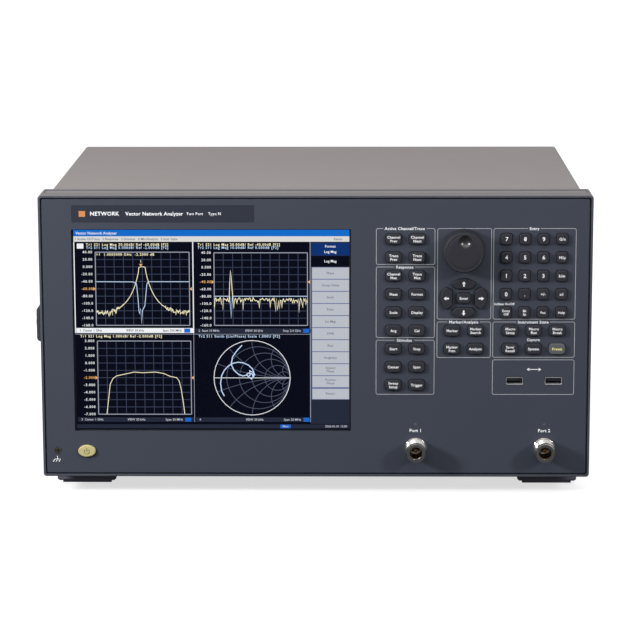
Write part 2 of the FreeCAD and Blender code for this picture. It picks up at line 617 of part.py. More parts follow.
def rear_data_ports():
    """The network jack and two small data sockets, soldered to the main board's rear edge."""
    low = LAN_Z - 5
    ys = (BODY_BACK - 21, BODY_BACK + 0.6)
    jack = box((LAN_X - 8, LAN_X + 8), ys, (low, low + 13.5))
    cavity = box((LAN_X - 6, LAN_X + 6), (BODY_BACK - 12, BODY_BACK + 1), (low + 2.2, low + 10))
    ports = [jack.cut(cavity)]
    for n in range(2):
        x = LAN_X + 26 + 18 * n
        shell = centred(x, LAN_Z + 1.5, 13.1, 7.0, ys)
        room = centred(x, LAN_Z + 1.5, 12.3, 6.2, (BODY_BACK - 12, BODY_BACK + 1))
        tongue = centred(x, LAN_Z + 2.4, 11, 1.8, (BODY_BACK - 12.1, BODY_BACK - 3))
        ports.append(shell.cut(room).fuse(tongue).removeSplitter())
    return ports


def build():
    """Every node by name, as one solid or a list of solids."""
    nodes = {
        maker.__name__: maker()
        for maker in (
            front_frame, front_panel, top_trim_strip, nameplate, display_bezel, display_window,
            display_module, front_boards, knob_encoder, rotary_knob, power_button, usb_shells,
            usb_tongues, port_connectors, port_insulators, port_contacts, port_cables, port_lamps,
            ground_jack, top_cover, bottom_cover, rear_panel, cover_screws, rear_feet, bottom_feet,
            handle_caps, handle_strap, chassis_deck, power_supply, microwave_module,
            processor_board, fan_frame, fan_rotor, power_inlet, rear_coax_connectors,
            rear_data_ports,
        )
    }
    for name, places in key_places().items():
        nodes[name] = [key(x, z, size) for x, z, size in places]
    for name, turn in ARROWS.items():
        nodes[name] = arrow_key(turn)
    nodes["tilt_stand_left"] = tilt_stand(-FOOT_X)
    nodes["tilt_stand_right"] = tilt_stand(FOOT_X)
    return nodes


def export(nodes):
    os.makedirs("parts", exist_ok=True)
    for name, shape in nodes.items():
        if isinstance(shape, list):
            shape = Part.makeCompound(shape) if len(shape) > 1 else shape[0]
        shape = shape.copy()
        shape.translate(-ORIGIN)
        shape.exportStep("parts/" + name + ".step")


export(build())
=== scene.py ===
import json
import math
import random

import bmesh
import bpy
from mathutils import Matrix, Vector

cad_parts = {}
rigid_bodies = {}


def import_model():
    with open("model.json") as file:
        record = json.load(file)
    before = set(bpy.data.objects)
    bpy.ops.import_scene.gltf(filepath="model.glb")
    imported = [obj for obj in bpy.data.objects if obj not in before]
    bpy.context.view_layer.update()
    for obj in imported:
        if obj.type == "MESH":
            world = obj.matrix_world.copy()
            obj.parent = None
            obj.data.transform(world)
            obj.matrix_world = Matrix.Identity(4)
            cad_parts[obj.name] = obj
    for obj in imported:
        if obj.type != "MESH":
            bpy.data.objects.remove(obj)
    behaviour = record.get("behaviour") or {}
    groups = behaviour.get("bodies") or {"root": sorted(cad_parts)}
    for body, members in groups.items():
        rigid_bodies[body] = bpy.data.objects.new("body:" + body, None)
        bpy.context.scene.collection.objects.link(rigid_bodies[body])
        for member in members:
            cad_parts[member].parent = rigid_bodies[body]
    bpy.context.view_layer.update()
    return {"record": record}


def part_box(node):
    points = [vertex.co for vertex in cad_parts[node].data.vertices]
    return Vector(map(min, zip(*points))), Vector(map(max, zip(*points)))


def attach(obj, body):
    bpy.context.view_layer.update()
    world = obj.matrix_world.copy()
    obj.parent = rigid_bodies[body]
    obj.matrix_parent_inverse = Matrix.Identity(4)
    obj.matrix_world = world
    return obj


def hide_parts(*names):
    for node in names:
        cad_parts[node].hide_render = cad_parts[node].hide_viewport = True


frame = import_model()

MM = 0.001

# Places on the front are in millimetres: x from the middle of the front casting, y back from its face and
# z up from its lower edge.
CASTING_LOW, CASTING_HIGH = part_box("front_frame")
FRONT_ORIGIN = Vector(((CASTING_LOW.x + CASTING_HIGH.x) / 2, CASTING_LOW.y, CASTING_LOW.z))
PRINT = 0.04  # how far printing stands off its surface
BODY = "instrument"

# The key grid
ROW_TOP, ROW_PITCH = 187.9, 14.3
LEFT_COLUMNS = (60.1, 78.2)
MARKER_COLUMNS = (105.3, 123.4)
STATE_COLUMNS = (150.1, 168.2, 186.3)
NUMBER_COLUMNS = (146.6, 160.8, 175.0, 189.2)
PORT_XS, PORT_Z = (77.6, 177.4), 23.0
# The picture ends at the lower edge of the 158.4 high active area and starts a little below its upper edge
PICTURE_W, PICTURE_H, PICTURE_DROP = 212.4, 157.65, 0.375


def at(x, y, z):
    """A front place in millimetres as a point of the row frame."""
    return FRONT_ORIGIN + Vector((x, y, z)) * MM


def span(node):
    """The low and high corners of a node's box as front places."""
    low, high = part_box(node)
    return (low - FRONT_ORIGIN) / MM, (high - FRONT_ORIGIN) / MM


def arc_points(x, z, radius, start, sweep, steps):
    """Points along an arc about (x, z), in degrees from the right towards the top."""
    turns = [math.radians(start + sweep * n / steps) for n in range(steps + 1)]
    return [(x + radius * math.cos(turn), z + radius * math.sin(turn)) for turn in turns]


def middle(node):
    """Where a node's middle is across and up the front."""
    low, high = span(node)
    return (low.x + high.x) / 2, (low.z + high.z) / 2


def front_y(node):
    """How far back a node's foremost point is."""
    return span(node)[0].y


PANEL_Y = front_y("front_panel")
KEY_Y = front_y("key_1")
SCREEN_Y = front_y("display_module")
DISPLAY_X, DISPLAY_Z = middle("display_module")
PICTURE_LEFT = DISPLAY_X - PICTURE_W / 2
PICTURE_TOP = DISPLAY_Z + PICTURE_H / 2 - PICTURE_DROP


def linear(red, green, blue):
    """A display colour of 0 to 255 in linear light."""
    def one(value):
        c = value / 255
        return c / 12.92 if c <= 0.04045 else ((c + 0.055) / 1.055) ** 2.4
    return one(red), one(green), one(blue), 1.0


# ---- materials ----

NOISE_MIDDLE = (0.3, 0.7)  # where most of a noise texture's values lie


def new_material(name):
    material = bpy.data.materials.new(name)
    material.use_nodes = True
    tree = material.node_tree
    return material, tree, tree.nodes["Principled BSDF"]


def noise(tree, scale, detail=2.0, roughness=0.5, stretch=(1, 1, 1)):
    """A noise in object space, so that it stays on the surface when the piece moves."""
    place = tree.nodes.new("ShaderNodeTexCoord")
    mapping = tree.nodes.new("ShaderNodeMapping")
    mapping.inputs["Scale"].default_value = stretch
    texture = tree.nodes.new("ShaderNodeTexNoise")
    texture.inputs["Scale"].default_value = scale
    texture.inputs["Detail"].default_value = detail
    texture.inputs["Roughness"].default_value = roughness
    tree.links.new(place.outputs["Object"], mapping.inputs["Vector"])
    tree.links.new(mapping.outputs["Vector"], texture.inputs["Vector"])
    return texture.outputs["Fac"]


def remap(tree, value, source, target):
    """Maps a value from one range to another and stops at its ends."""
    node = tree.nodes.new("ShaderNodeMapRange")
    node.inputs["From Min"].default_value = source[0]
    node.inputs["From Max"].default_value = source[1]
    node.inputs["To Min"].default_value = target[0]
    node.inputs["To Max"].default_value = target[1]
    tree.links.new(value, node.inputs["Value"])
    return node.outputs["Result"]


def spread(tree, value, low, high):
    """Maps a noise from its middle range to low..high."""
    return remap(tree, value, NOISE_MIDDLE, (low, high))


def calculated(tree, operation, first, second):
    """What a maths node makes of two values; the second may be a plain number."""
    node = tree.nodes.new("ShaderNodeMath")
    node.operation = operation
    tree.links.new(first, node.inputs[0])
    if isinstance(second, float):
        node.inputs[1].default_value = second
    else:
        tree.links.new(second, node.inputs[1])
    return node.outputs["Value"]


def height_of(tree, vector):
    """The upward part of a vector."""
    parts = tree.nodes.new("ShaderNodeSeparateXYZ")
    tree.links.new(vector, parts.inputs["Vector"])
    return parts.outputs["Z"]


def mixed(tree, factor, first, second):
    node = tree.nodes.new("ShaderNodeMix")
    node.data_type = "RGBA"
    for socket, colour in (("A", first), ("B", second)):
        target = next(s for s in node.inputs if s.name == socket and s.type == "RGBA")
        if isinstance(colour, tuple):
            target.default_value = colour
        else:
            tree.links.new(colour, target)
    tree.links.new(factor, node.inputs["Factor"])
    return next(s for s in node.outputs if s.type == "RGBA")


def shade(colour, factor):
    return tuple(c * factor for c in colour[:3]) + (1.0,)


def bump(tree, shader, height, strength, distance):
    node = tree.nodes.new("ShaderNodeBump")
    node.inputs["Strength"].default_value = strength
    node.inputs["Distance"].default_value = distance
    tree.links.new(height, node.inputs["Height"])
    tree.links.new(node.outputs["Normal"], shader.inputs["Normal"])


CLOUD_MM = 40.0  # size of the slow colour drift


def textured(name, colour, grain_mm, depth_mm, rough, metal=0.0, specular=0.35, vary=0.08):
    """Paint or moulded plastic: a slow colour drift, a fine grain in colour, roughness and height."""
    material, tree, shader = new_material(name)
    fine = noise(tree, 1 / (grain_mm * MM), 3.0)
    slow = noise(tree, 1 / (CLOUD_MM * MM), 2.0)
    drift = mixed(tree, spread(tree, slow, 0, 1), shade(colour, 1 - vary / 2), shade(colour, 1 + vary / 2))
    speckle = mixed(tree, spread(tree, fine, 0, 1), drift, shade(colour, 1 + vary))
    tree.links.new(speckle, shader.inputs["Base Color"])
    tree.links.new(spread(tree, fine, rough - 0.06, rough + 0.06), shader.inputs["Roughness"])
    shader.inputs["Metallic"].default_value = metal
    shader.inputs["Specular IOR Level"].default_value = specular
    bump(tree, shader, fine, 0.5, depth_mm * MM)
    return material


TOP_TONE_AND_LIGHT_FROM = 0.2  # height in metres above which the upward faces take the covers' lighter colour: partly a second paint, partly painted top light
UPWARD = (0.55, 0.80)  # the upward part of a face's normal, from still dark to fully in the covers' colour, the painted top light


def two_tone_and_top_light(name, front, upper, grain_mm, rough):
    """The casting's paint: dark all round, with the covers' lighter colour on its upward faces, partly a
    second paint and partly painted top light.
    """
    material, tree, shader = new_material(name)
    fine = noise(tree, 1 / (grain_mm * MM), 3.0)
    geometry = tree.nodes.new("ShaderNodeNewGeometry")
    facing = remap(tree, height_of(tree, geometry.outputs["Normal"]), UPWARD, (0.0, 1.0))
    place = tree.nodes.new("ShaderNodeTexCoord")
    high = calculated(tree, "GREATER_THAN", height_of(tree, place.outputs["Object"]), TOP_TONE_AND_LIGHT_FROM)
    # painted top light: upward faces high on the casting turn to the covers' lighter colour, partly a
    # second paint colour
    base = mixed(tree, calculated(tree, "MULTIPLY", facing, high), front, upper)
    worn = mixed(tree, spread(tree, fine, 0, 0.12), base, shade(upper, 1.25))
    tree.links.new(worn, shader.inputs["Base Color"])
    tree.links.new(spread(tree, fine, rough - 0.05, rough + 0.08), shader.inputs["Roughness"])
    shader.inputs["Specular IOR Level"].default_value = 0.35
    bump(tree, shader, fine, 0.5, 0.02 * MM)
    return material


def plated(name, colour, rough, stretch=(1, 1, 1), depth_mm=0.004):
    """Bright or brushed metal, with fine marks along one way."""
    material, tree, shader = new_material(name)
    marks = noise(tree, 900.0, 4.0, 0.6, stretch)
    slow = noise(tree, 60.0, 2.0)
    tint = mixed(tree, spread(tree, slow, 0, 1), shade(colour, 0.9), shade(colour, 1.05))
    tree.links.new(tint, shader.inputs["Base Color"])
    tree.links.new(spread(tree, marks, rough * 0.75, rough * 1.4), shader.inputs["Roughness"])
    shader.inputs["Metallic"].default_value = 1.0
    bump(tree, shader, marks, 0.3, depth_mm * MM)
    return material


def board_material(name):
    """Green solder mask with lighter copper runs under it."""
    material, tree, shader = new_material(name)
    runs = noise(tree, 260.0, 1.0, 0.3, (1, 6, 1))
    tint = mixed(tree, spread(tree, runs, 0, 1), (0.01, 0.10, 0.04, 1), (0.03, 0.20, 0.08, 1))
    tree.links.new(tint, shader.inputs["Base Color"])
    tree.links.new(spread(tree, runs, 0.3, 0.5), shader.inputs["Roughness"])
    bump(tree, shader, runs, 0.3, 0.02 * MM)
    return material


def lit(name, colour):
    """A lit part of the display picture, with the faint mesh of its dots."""
    material, tree, shader = new_material(name)
    dots = noise(tree, 1 / (0.35 * MM), 0.0)
    tint = mixed(tree, spread(tree, dots, 0, 1), shade(colour, 0.95), shade(colour, 1.05))
    tree.links.new(tint, shader.inputs["Emission Color"])
    shader.inputs["Base Color"].default_value = (0, 0, 0, 1)
    shader.inputs["Emission Strength"].default_value = 1.0
    shader.inputs["Roughness"].default_value = 0.9
    shader.inputs["Specular IOR Level"].default_value = 0.0
    return material


def pane_material(name):
    """The clear display pane: nearly everything passes, with a dull reflection."""
    material, tree, shader = new_material(name)
    clouds = noise(tree, 30.0, 2.0)
    clear = tree.nodes.new("ShaderNodeBsdfTransparent")
    gloss = tree.nodes.new("ShaderNodeBsdfGlossy")
    gloss.inputs["Color"].default_value = (0.8, 0.85, 1.0, 1)
    tree.links.new(spread(tree, clouds, 0.28, 0.36), gloss.inputs["Roughness"])
    mix = tree.nodes.new("ShaderNodeMixShader")
    mix.inputs["Fac"].default_value = 0.004
    tree.links.new(clear.outputs["BSDF"], mix.inputs[1])
    tree.links.new(gloss.outputs["BSDF"], mix.inputs[2])
    tree.nodes.remove(shader)
    tree.links.new(mix.outputs["Shader"], tree.nodes["Material Output"].inputs["Surface"])
    return material


SLATE = (0.0358, 0.0423, 0.0605, 1)
TAUPE = (0.205, 0.186, 0.182, 1)
CASTING_SLATE = (0.050, 0.057, 0.077, 1)
# the colour of the casting's upward faces: partly a second paint, partly painted top light
CASTING_TOP_PAINT_AND_LIGHT = (0.142, 0.130, 0.137, 1)
# By material slot, then those of this script; textured takes grain, depth and roughness after the colour
MATERIALS = {
    "casting_paint": two_tone_and_top_light("casting_paint", CASTING_SLATE, CASTING_TOP_PAINT_AND_LIGHT, 0.7, 0.55),
    "panel_paint": textured("panel_paint", SLATE, 0.45, 0.02, 0.6, vary=0.05),
    "cover_paint": textured("cover_paint", TAUPE, 0.9, 0.05, 0.6, vary=0.06),
    "trim": textured("trim", (0.165, 0.152, 0.156, 1), 0.5, 0.02, 0.5),
    "nameplate": textured("nameplate", (0.0185, 0.0225, 0.036, 1), 0.3, 0.006, 0.5, vary=0.04),
    "black_plastic": textured("black_plastic", (0.006, 0.007, 0.010, 1), 0.5, 0.02, 0.55),
    "display_glass": pane_material("display_glass"),
    "display_body": plated("display_body", (0.5, 0.5, 0.5, 1), 0.4),
    "circuit_board": board_material("circuit_board"),
    "key_rubber": textured("key_rubber", (0.0195, 0.0195, 0.027, 1), 0.35, 0.015, 0.62, specular=0.3),
    "preset_key": textured("preset_key", (0.084, 0.088, 0.094, 1), 0.35, 0.015, 0.6, specular=0.3),
    "knob": textured("knob", (0.019, 0.019, 0.026, 1), 0.3, 0.015, 0.58, specular=0.3),
    "power_button": textured("power_button", (0.46, 0.405, 0.185, 1), 0.4, 0.01, 0.45, vary=0.05),
    "nickel": plated("nickel", (0.55, 0.54, 0.52, 1), 0.17, (1, 8, 1)),
    "port_metal": plated("port_metal", (0.60, 0.585, 0.56, 1), 0.14, (1, 8, 1)),
    "usb_metal": textured("usb_metal", (0.62, 0.62, 0.64, 1), 0.3, 0.004, 0.4, metal=0.5),
    "gold": plated("gold", (0.75, 0.40, 0.16, 1), 0.25),
    "dielectric": textured("dielectric", (0.10, 0.095, 0.09, 1), 0.5, 0.005, 0.4),
    "lamp": textured("lamp", (0.10, 0.11, 0.10, 1), 0.3, 0.002, 0.2, specular=0.6),
    "foot_plastic": textured("foot_plastic", (0.026, 0.026, 0.035, 1), 0.6, 0.03, 0.6, specular=0.3),
    # the bottom feet: the foot plastic painted much lighter, as painted fill light for the shade under the
    # case
    "foot_painted_fill": textured("foot_painted_fill", (0.115, 0.115, 0.155, 1), 0.6, 0.03, 0.6, specular=0.3),
    "strap": textured("strap", (0.012, 0.012, 0.015, 1), 0.8, 0.05, 0.65),
    "bare_metal": plated("bare_metal", (0.60, 0.61, 0.62, 1), 0.38, (6, 1, 1), 0.01),
    "steel_sheet": plated("steel_sheet", (0.50, 0.51, 0.52, 1), 0.35, (1, 6, 1), 0.01),
    "steel_wire": plated("steel_wire", (0.55, 0.55, 0.55, 1), 0.25),
    "print": textured("print", (0.80, 0.81, 0.83, 1), 0.3, 0.004, 0.6, vary=0.06),
    "dark_print": textured("dark_print", (0.05, 0.05, 0.04, 1), 0.3, 0.004, 0.6),
    "line_print": textured("line_print", (0.34, 0.345, 0.36, 1), 0.4, 0.004, 0.6, vary=0.1),
    "amber_print": textured("amber_print", (0.50, 0.20, 0.07, 1), 0.3, 0.004, 0.6, vary=0.06),
    "knob_polish": textured("knob_polish", (0.02, 0.02, 0.024, 1), 0.4, 0.002, 0.3, specular=0.8),
    "warm_print": textured("warm_print", (0.78, 0.72, 0.30, 1), 0.3, 0.004, 0.6),
}


def dress_frame():
    """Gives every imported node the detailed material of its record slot."""
    for entry in frame["record"]["subparts"]:
        node = bpy.data.objects[entry["node"]]
        for place in node.material_slots:
            place.material = MATERIALS[entry["material_slot"]]
    # the USB shells take a brighter metal; the bottom feet take the lighter foot colour with painted fill
    # light
    for node, material in (("usb_shells", "usb_metal"), ("bottom_feet", "foot_painted_fill")):
        for place in bpy.data.objects[node].material_slots:
            place.material = MATERIALS[material]


# ---- mesh helpers ----

def add_piece(name, mesh, materials, body=BODY):
    """Puts a finished mesh in the scene and lets it ride on a body."""
    piece = bpy.data.objects.new(name, mesh)
    bpy.context.scene.collection.objects.link(piece)
    for material in materials:
        mesh.materials.append(material)
    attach(piece, body)
    return piece


def evaluated_mesh(piece):
    """The mesh of an object as its curve settings or modifiers make it."""
    return bpy.data.meshes.new_from_object(piece.evaluated_get(bpy.context.evaluated_depsgraph_get()))


MITRE_LIMIT = 0.35  # keeps sharp bends from growing spikes
RING_STEPS = 40
LINE_SPACE = 1.02


class Drawing:
    """Flat shapes in millimetres, facing the front (-1) or the rear (1), gathered into one mesh."""

    def __init__(self, facing=-1):
        self.mesh = bmesh.new()
        self.facing = facing

    def face(self, points, y):
        vertices = [self.mesh.verts.new(at(x, y, z)) for x, z in points]
        face = self.mesh.faces.new(vertices)
        face.normal_update()
        if face.normal.y * self.facing < 0:
            face.normal_flip()

    def rect(self, x0, x1, z0, z1, y):
        self.face([(x0, z0), (x1, z0), (x1, z1), (x0, z1)], y)

    def line(self, points, width, y):
        """A line of even width through the points, mitred at its bends."""
        path = [Vector(p) for p in points]
        left, right = [], []
        for index, point in enumerate(path):
            before = (point - path[index - 1]).normalized() if index else None
            after = (path[index + 1] - point).normalized() if index + 1 < len(path) else None
            along = ((before or after) + (after or before)).normalized()
            across = Vector((-along.y, along.x))
            turn = max(MITRE_LIMIT, along.dot(after or before))
            left.append(point + across * (width / 2 / turn))
            right.append(point - across * (width / 2 / turn))
        for n in range(len(path) - 1):
            self.face([left[n], left[n + 1], right[n + 1], right[n]], y)

    def ring(self, x, z, radius, width, y, start=0, sweep=360):
        self.line(arc_points(x, z, radius, start, sweep, RING_STEPS), width, y)

    def text(self, words, x, z, size, y, align="CENTER", weight=0.02, spacing=1.06):
        """Lettering with its middle line at z; weight thickens its strokes."""
        curve = bpy.data.curves.new("lettering", "FONT")
        curve.body = words
        curve.size = size
        curve.align_x = align
        curve.align_y = "CENTER"
        curve.resolution_u = 2
        curve.space_line = LINE_SPACE
        curve.offset = size * weight
        curve.space_character = spacing
        holder = bpy.data.objects.new("lettering", curve)
        bpy.context.scene.collection.objects.link(holder)
        bpy.context.view_layer.update()
        mesh = evaluated_mesh(holder)
        for vertex in mesh.vertices:
            u, v, _ = vertex.co
            vertex.co = at(x - self.facing * u, y, z + v)
        self.mesh.from_mesh(mesh)
        bpy.data.objects.remove(holder)
        bpy.data.curves.remove(curve)
        bpy.data.meshes.remove(mesh)

    def finish(self, name, material, body=BODY, slot="panel_paint"):
        finished(name, self.mesh, [material], body)


def bridge(work, rings):
    """Joins each ring of vertices to the next with quads."""
    faces = []
    for first, second in zip(rings, rings[1:]):
        for n in range(len(first)):
            follow = (n + 1) % len(first)
            faces.append(work.faces.new([first[n], first[follow], second[follow], second[n]]))
    return faces


def closed(work, rings):
    """Joins the rings and closes both ends with flat faces."""
    faces = bridge(work, rings) + [work.faces.new(rings[0]), work.faces.new(rings[-1])]
    bmesh.ops.recalc_face_normals(work, faces=faces)


def turned(work, profile, steps, place):
    """The rings of a turned body; place puts a step of a (radius, distance) point in the frame."""
    return [[work.verts.new(place(radius, along, n)) for n in range(steps)] for radius, along in profile]


def turned_ring(work, profile, x, z, steps):
    """A body turned about a front-to-back line with a hole through it: the profile closes on itself."""
    def place(radius, y, n):
        turn = 2 * math.pi * n / steps
        return at(x + radius * math.cos(turn), y, z + radius * math.sin(turn))

    rings = turned(work, profile + profile[:1], steps, place)
    faces = bridge(work, rings)
    bmesh.ops.remove_doubles(work, verts=rings[0] + rings[-1], dist=1e-7)
    bmesh.ops.recalc_face_normals(work, faces=[f for f in faces if f.is_valid])


def finished(name, work, materials, body):
    mesh = bpy.data.meshes.new(name)
    work.to_mesh(mesh)
    work.free()
    return add_piece(name, mesh, materials, body)


def smooth(piece, angle):
    """Smooth shading that keeps edges sharper than the angle."""
    piece.data.shade_smooth()
    piece.data.set_sharp_from_angle(angle=math.radians(angle))


# ---- panel printing ----

# Each box: left, right, bottom and top, then its heading, the heading's middle and half width
GROUPS = (
    (46.8, 91.7, 168.0, 195.9, "Active Channel/Trace", 68.6, 16.6),
    (46.8, 91.7, 110.7, 166.0, "Response", 68.6, 8.0),
    (46.8, 91.7, 65.8, 108.6, "Stimulus", 68.6, 7.6),
    (93.8, 135.1, 125.2, 195.9, "", 114.1, 0.0),
    (93.8, 135.1, 95.0, 123.0, "Marker/Analysis", 114.2, 12.6),
    (136.8, 199.8, 125.2, 195.9, "Entry", 167.8, 4.8),
    (136.8, 199.8, 95.2, 123.0, "Instrument State", 167.8, 13.0),
    (136.8, 199.8, 65.8, 93.2, "", 168.0, 0.0),
)
CORNER, CORNER_STEPS, GROUP_LINE, SIGN_LINE = 1.4, 6, 0.45, 0.5
HEADING_LETTERS, PORT_LETTERS, CAPTURE_LETTERS, SOFTKEY_LETTERS = 3.15, 3.5, 2.8, 2.35


def group_path(left, right, bottom, top, half_gap, middle_x):
    """The outline of a group box, open by twice half_gap at its heading and closed where that is 0."""
    points = [(middle_x + half_gap, top)]
    for x, z, inward_x, inward_z, start in (
        (right, top, -1, -1, 90), (right, bottom, -1, 1, 0),
        (left, bottom, 1, 1, 270), (left, top, 1, -1, 180),
    ):
        points += arc_points(x + inward_x * CORNER, z + inward_z * CORNER, CORNER, start, -90, CORNER_STEPS)
    points.append((middle_x - half_gap, top))
    return points


def panel_printing():
    lines, words = Drawing(), Drawing()
    y = PANEL_Y - PRINT
    for left, right, bottom, top, heading, heading_x, half in GROUPS:
        path = group_path(left, right, bottom, top, half, heading_x)
        lines.line(path, GROUP_LINE, y)
        if heading:
            words.text(heading, heading_x, top - 0.2, HEADING_LETTERS, y, spacing=1.1)
    for index, x in enumerate(PORT_XS):
        words.text(f"Port {index + 1}", x, 36.8, PORT_LETTERS, y)
    words.text("Softkey On/Off", 137.6, 137.0, SOFTKEY_LETTERS, y, "LEFT")
    words.text("Capture", 168.1, 108.9, CAPTURE_LETTERS, y)
    ground_mark(words, -201.6, 13.8, y)
    data_mark(words, 168.9, 85.6, y)
    lines.finish("group_outlines", MATERIALS["line_print"])
    words.finish("panel_lettering", MATERIALS["print"])


def ground_mark(drawing, x, z, y):
    """The chassis earth sign."""
    drawing.line([(x, z + 2.6), (x, z)], SIGN_LINE, y)
    drawing.line([(x - 2.4, z), (x + 2.4, z)], SIGN_LINE, y)
    for offset in (-2.2, 0.0, 2.2):
        drawing.line([(x + offset, z), (x + offset - 1.2, z - 2.2)], SIGN_LINE, y)


def data_mark(drawing, x, z, y):
    """A plain two-way arrow over the data sockets."""
    drawing.line([(x - 4.2, z), (x + 4.2, z)], SIGN_LINE, y)
    for side in (-1, 1):
        drawing.face([(x + side * 5.6, z), (x + side * 3.6, z + 1.3), (x + side * 3.6, z - 1.3)], y)


# The name strip's block as left, right and half height, then its words: words, x, size and weight
NAME_BLOCK = (-64.5, -59.5, 2.2)
NAME_WORDS = (
    ("NETWORK", -55.8, 4.3, 0.02), ("Vector Network Analyzer", -28.5, 3.9, 0.02),
    ("Two Port    Type N", 18.0, 3.1, 0.01),
)


def name_strip():
    """A plain maker-free strip: a small amber block and a general description."""
    mark, words = Drawing(), Drawing()
    x, z = middle("nameplate")
    y = front_y("nameplate") - PRINT
    left, right, half = NAME_BLOCK
    mark.rect(x + left, x + right, z - half, z + half, y)
    for word, offset, size, weight in NAME_WORDS:
        words.text(word, x + offset, z, size, y, "LEFT", weight)
    mark.finish("name_mark", MATERIALS["amber_print"], slot="nameplate")
    words.finish("name_lettering", MATERIALS["print"], slot="nameplate")


# The rear sockets' printing: words, x, z and size, then boxes as left, right, bottom and top
REAR_WORDS = (
    ("Ref In", 145.0, 151.5, 4.0), ("Ref Out", 120.0, 151.5, 4.0), ("Ext Trig", 95.0, 151.5, 4.0),
    ("LAN", 60.0, 112.5, 4.0), ("USB", 95.0, 112.5, 4.0), ("100-240 V~  50/60 Hz", -150.0, 64.0, 4.4),
)
REAR_BOXES = ((81.0, 159.0, 128.0, 156.5), (46.0, 112.0, 86.0, 117.0), (-182.0, -118.0, 24.0, 69.0))


def rear_printing():
    """Thin outlines and general words round the rear sockets."""
    drawing = Drawing(facing=1)
    y = span("rear_panel")[1].y + PRINT
    for left, right, bottom, top in REAR_BOXES:
        path = group_path(left, right, bottom, top, 0.0, (left + right) / 2)
        drawing.line(path, SIGN_LINE, y)
    for words, x, z, size in REAR_WORDS:
        drawing.text(words, x, z, size, y)
    drawing.finish("rear_printing", MATERIALS["dark_print"], slot="bare_metal")


LEFT_WORDS = (
    ("Channel\nPrev", "Channel\nNext"), ("Trace\nPrev", "Trace\nNext"), ("Channel\nMax", "Trace\nMax"),
    ("Meas", "Format"), ("Scale", "Display"), ("Avg", "Cal"), ("Start", "Stop"), ("Center", "Span"),
    ("Sweep\nSetup", "Trigger"),
)
MARKER_WORDS = (("Marker", "Marker\nSearch"), ("Marker\nFctn", "Analysis"))
STATE_WORDS = (("Macro\nSetup", "Macro\nRun", "Macro\nBreak"), ("Save/\nRecall", "System", "Preset"))
NUMBER_WORDS = (
    ("7", "8", "9", "G/n"), ("4", "5", "6", "M/µ"), ("1", "2", "3", "k/m"), ("0", ".", "+/-", "x1"),
    ("Entry\nOff", "Bk\nSp", "Foc", "Help"),
)
WORD_LETTERS, ENTER_LETTERS, FIGURE_LETTERS, UNIT_LETTERS, SMALL_LETTERS = 2.85, 2.8, 4.4, 3.1, 2.6
LOWER_ROWS = 5  # the marker and state keys start this many rows down


def row_z(row):
    return ROW_TOP - ROW_PITCH * row


def key_words():
    """Every key's lettering: body, words, x, z and size."""
    found = []
    for row, words in enumerate(LEFT_WORDS):
        body = "channel_keys" if row < 2 else "response_keys" if row < 6 else "stimulus_keys"
        found += [(body, word, x, row_z(row), WORD_LETTERS) for word, x in zip(words, LEFT_COLUMNS)]
    for row, words in enumerate(MARKER_WORDS, LOWER_ROWS):
        for word, x in zip(words, MARKER_COLUMNS):
            found.append(("marker_keys", word, x, row_z(row), WORD_LETTERS))
    for row, words in enumerate(STATE_WORDS, LOWER_ROWS):
        for word, x in zip(words, STATE_COLUMNS):
            body = "preset_key" if word == "Preset" else "state_keys"
            found.append((body, word, x, row_z(row), WORD_LETTERS))
    for row, words in enumerate(NUMBER_WORDS):
        for word, x in zip(words, NUMBER_COLUMNS):
            body = "key_" + word if word.isdigit() else "entry_function_keys"
            last_row = words is NUMBER_WORDS[-1]
            size = FIGURE_LETTERS if len(word) == 1 else SMALL_LETTERS if last_row else UNIT_LETTERS
            found.append((body, word, x, row_z(row), size))
    found.append(("enter_key", "Enter", *middle("enter_key"), ENTER_LETTERS))
    return found


def key_printing():
    drawings = {}
    y = KEY_Y - PRINT
    for body, word, x, z, size in key_words():
        drawings.setdefault(body, Drawing()).text(word, x, z, size, y)
    for body, drawing in drawings.items():
        colour = "warm_print" if body == "preset_key" else "print"
        drawing.finish(body + "_lettering", MATERIALS[colour], body, "key_rubber")


ARROW_WAYS = {"up_key": (0, 1), "down_key": (0, -1), "left_key": (-1, 0), "right_key": (1, 0)}
# Each arrow from the key's middle: the stem's ends and width, the head's base, tip and half width
STEM_TAIL, STEM_END, STEM_WIDTH = -2.0, 0.3, 1.2
HEAD_BASE, HEAD_TIP, HEAD_HALF = 0.1, 2.1, 1.5


def arrow_printing():
    y = KEY_Y - PRINT
    for body, (dx, dz) in ARROW_WAYS.items():
        x, z = middle(body)
        drawing = Drawing()
        drawing.line([(x + reach * dx, z + reach * dz) for reach in (STEM_TAIL, STEM_END)], STEM_WIDTH, y)
        base_x, base_z = x + HEAD_BASE * dx, z + HEAD_BASE * dz
        head = [(x + HEAD_TIP * dx, z + HEAD_TIP * dz)]
        head += [(base_x + half * dz, base_z - half * dx) for half in (HEAD_HALF, -HEAD_HALF)]
        drawing.face(head, y)
        drawing.finish(body + "_arrow", MATERIALS["print"], body, "key_rubber")


def power_mark():
    """The usual stand-by sign."""
    x, z = middle("power_button")
    z -= 0.3
    y = front_y("power_button") - PRINT
    drawing = Drawing()
    drawing.ring(x, z, 2.0, 0.45, y, 130, 280)
    drawing.line([(x, z), (x, z + 2.7)], SIGN_LINE, y)
    drawing.finish("power_mark", MATERIALS["dark_print"], "power_button", "power_button")


# ---- the display picture ----

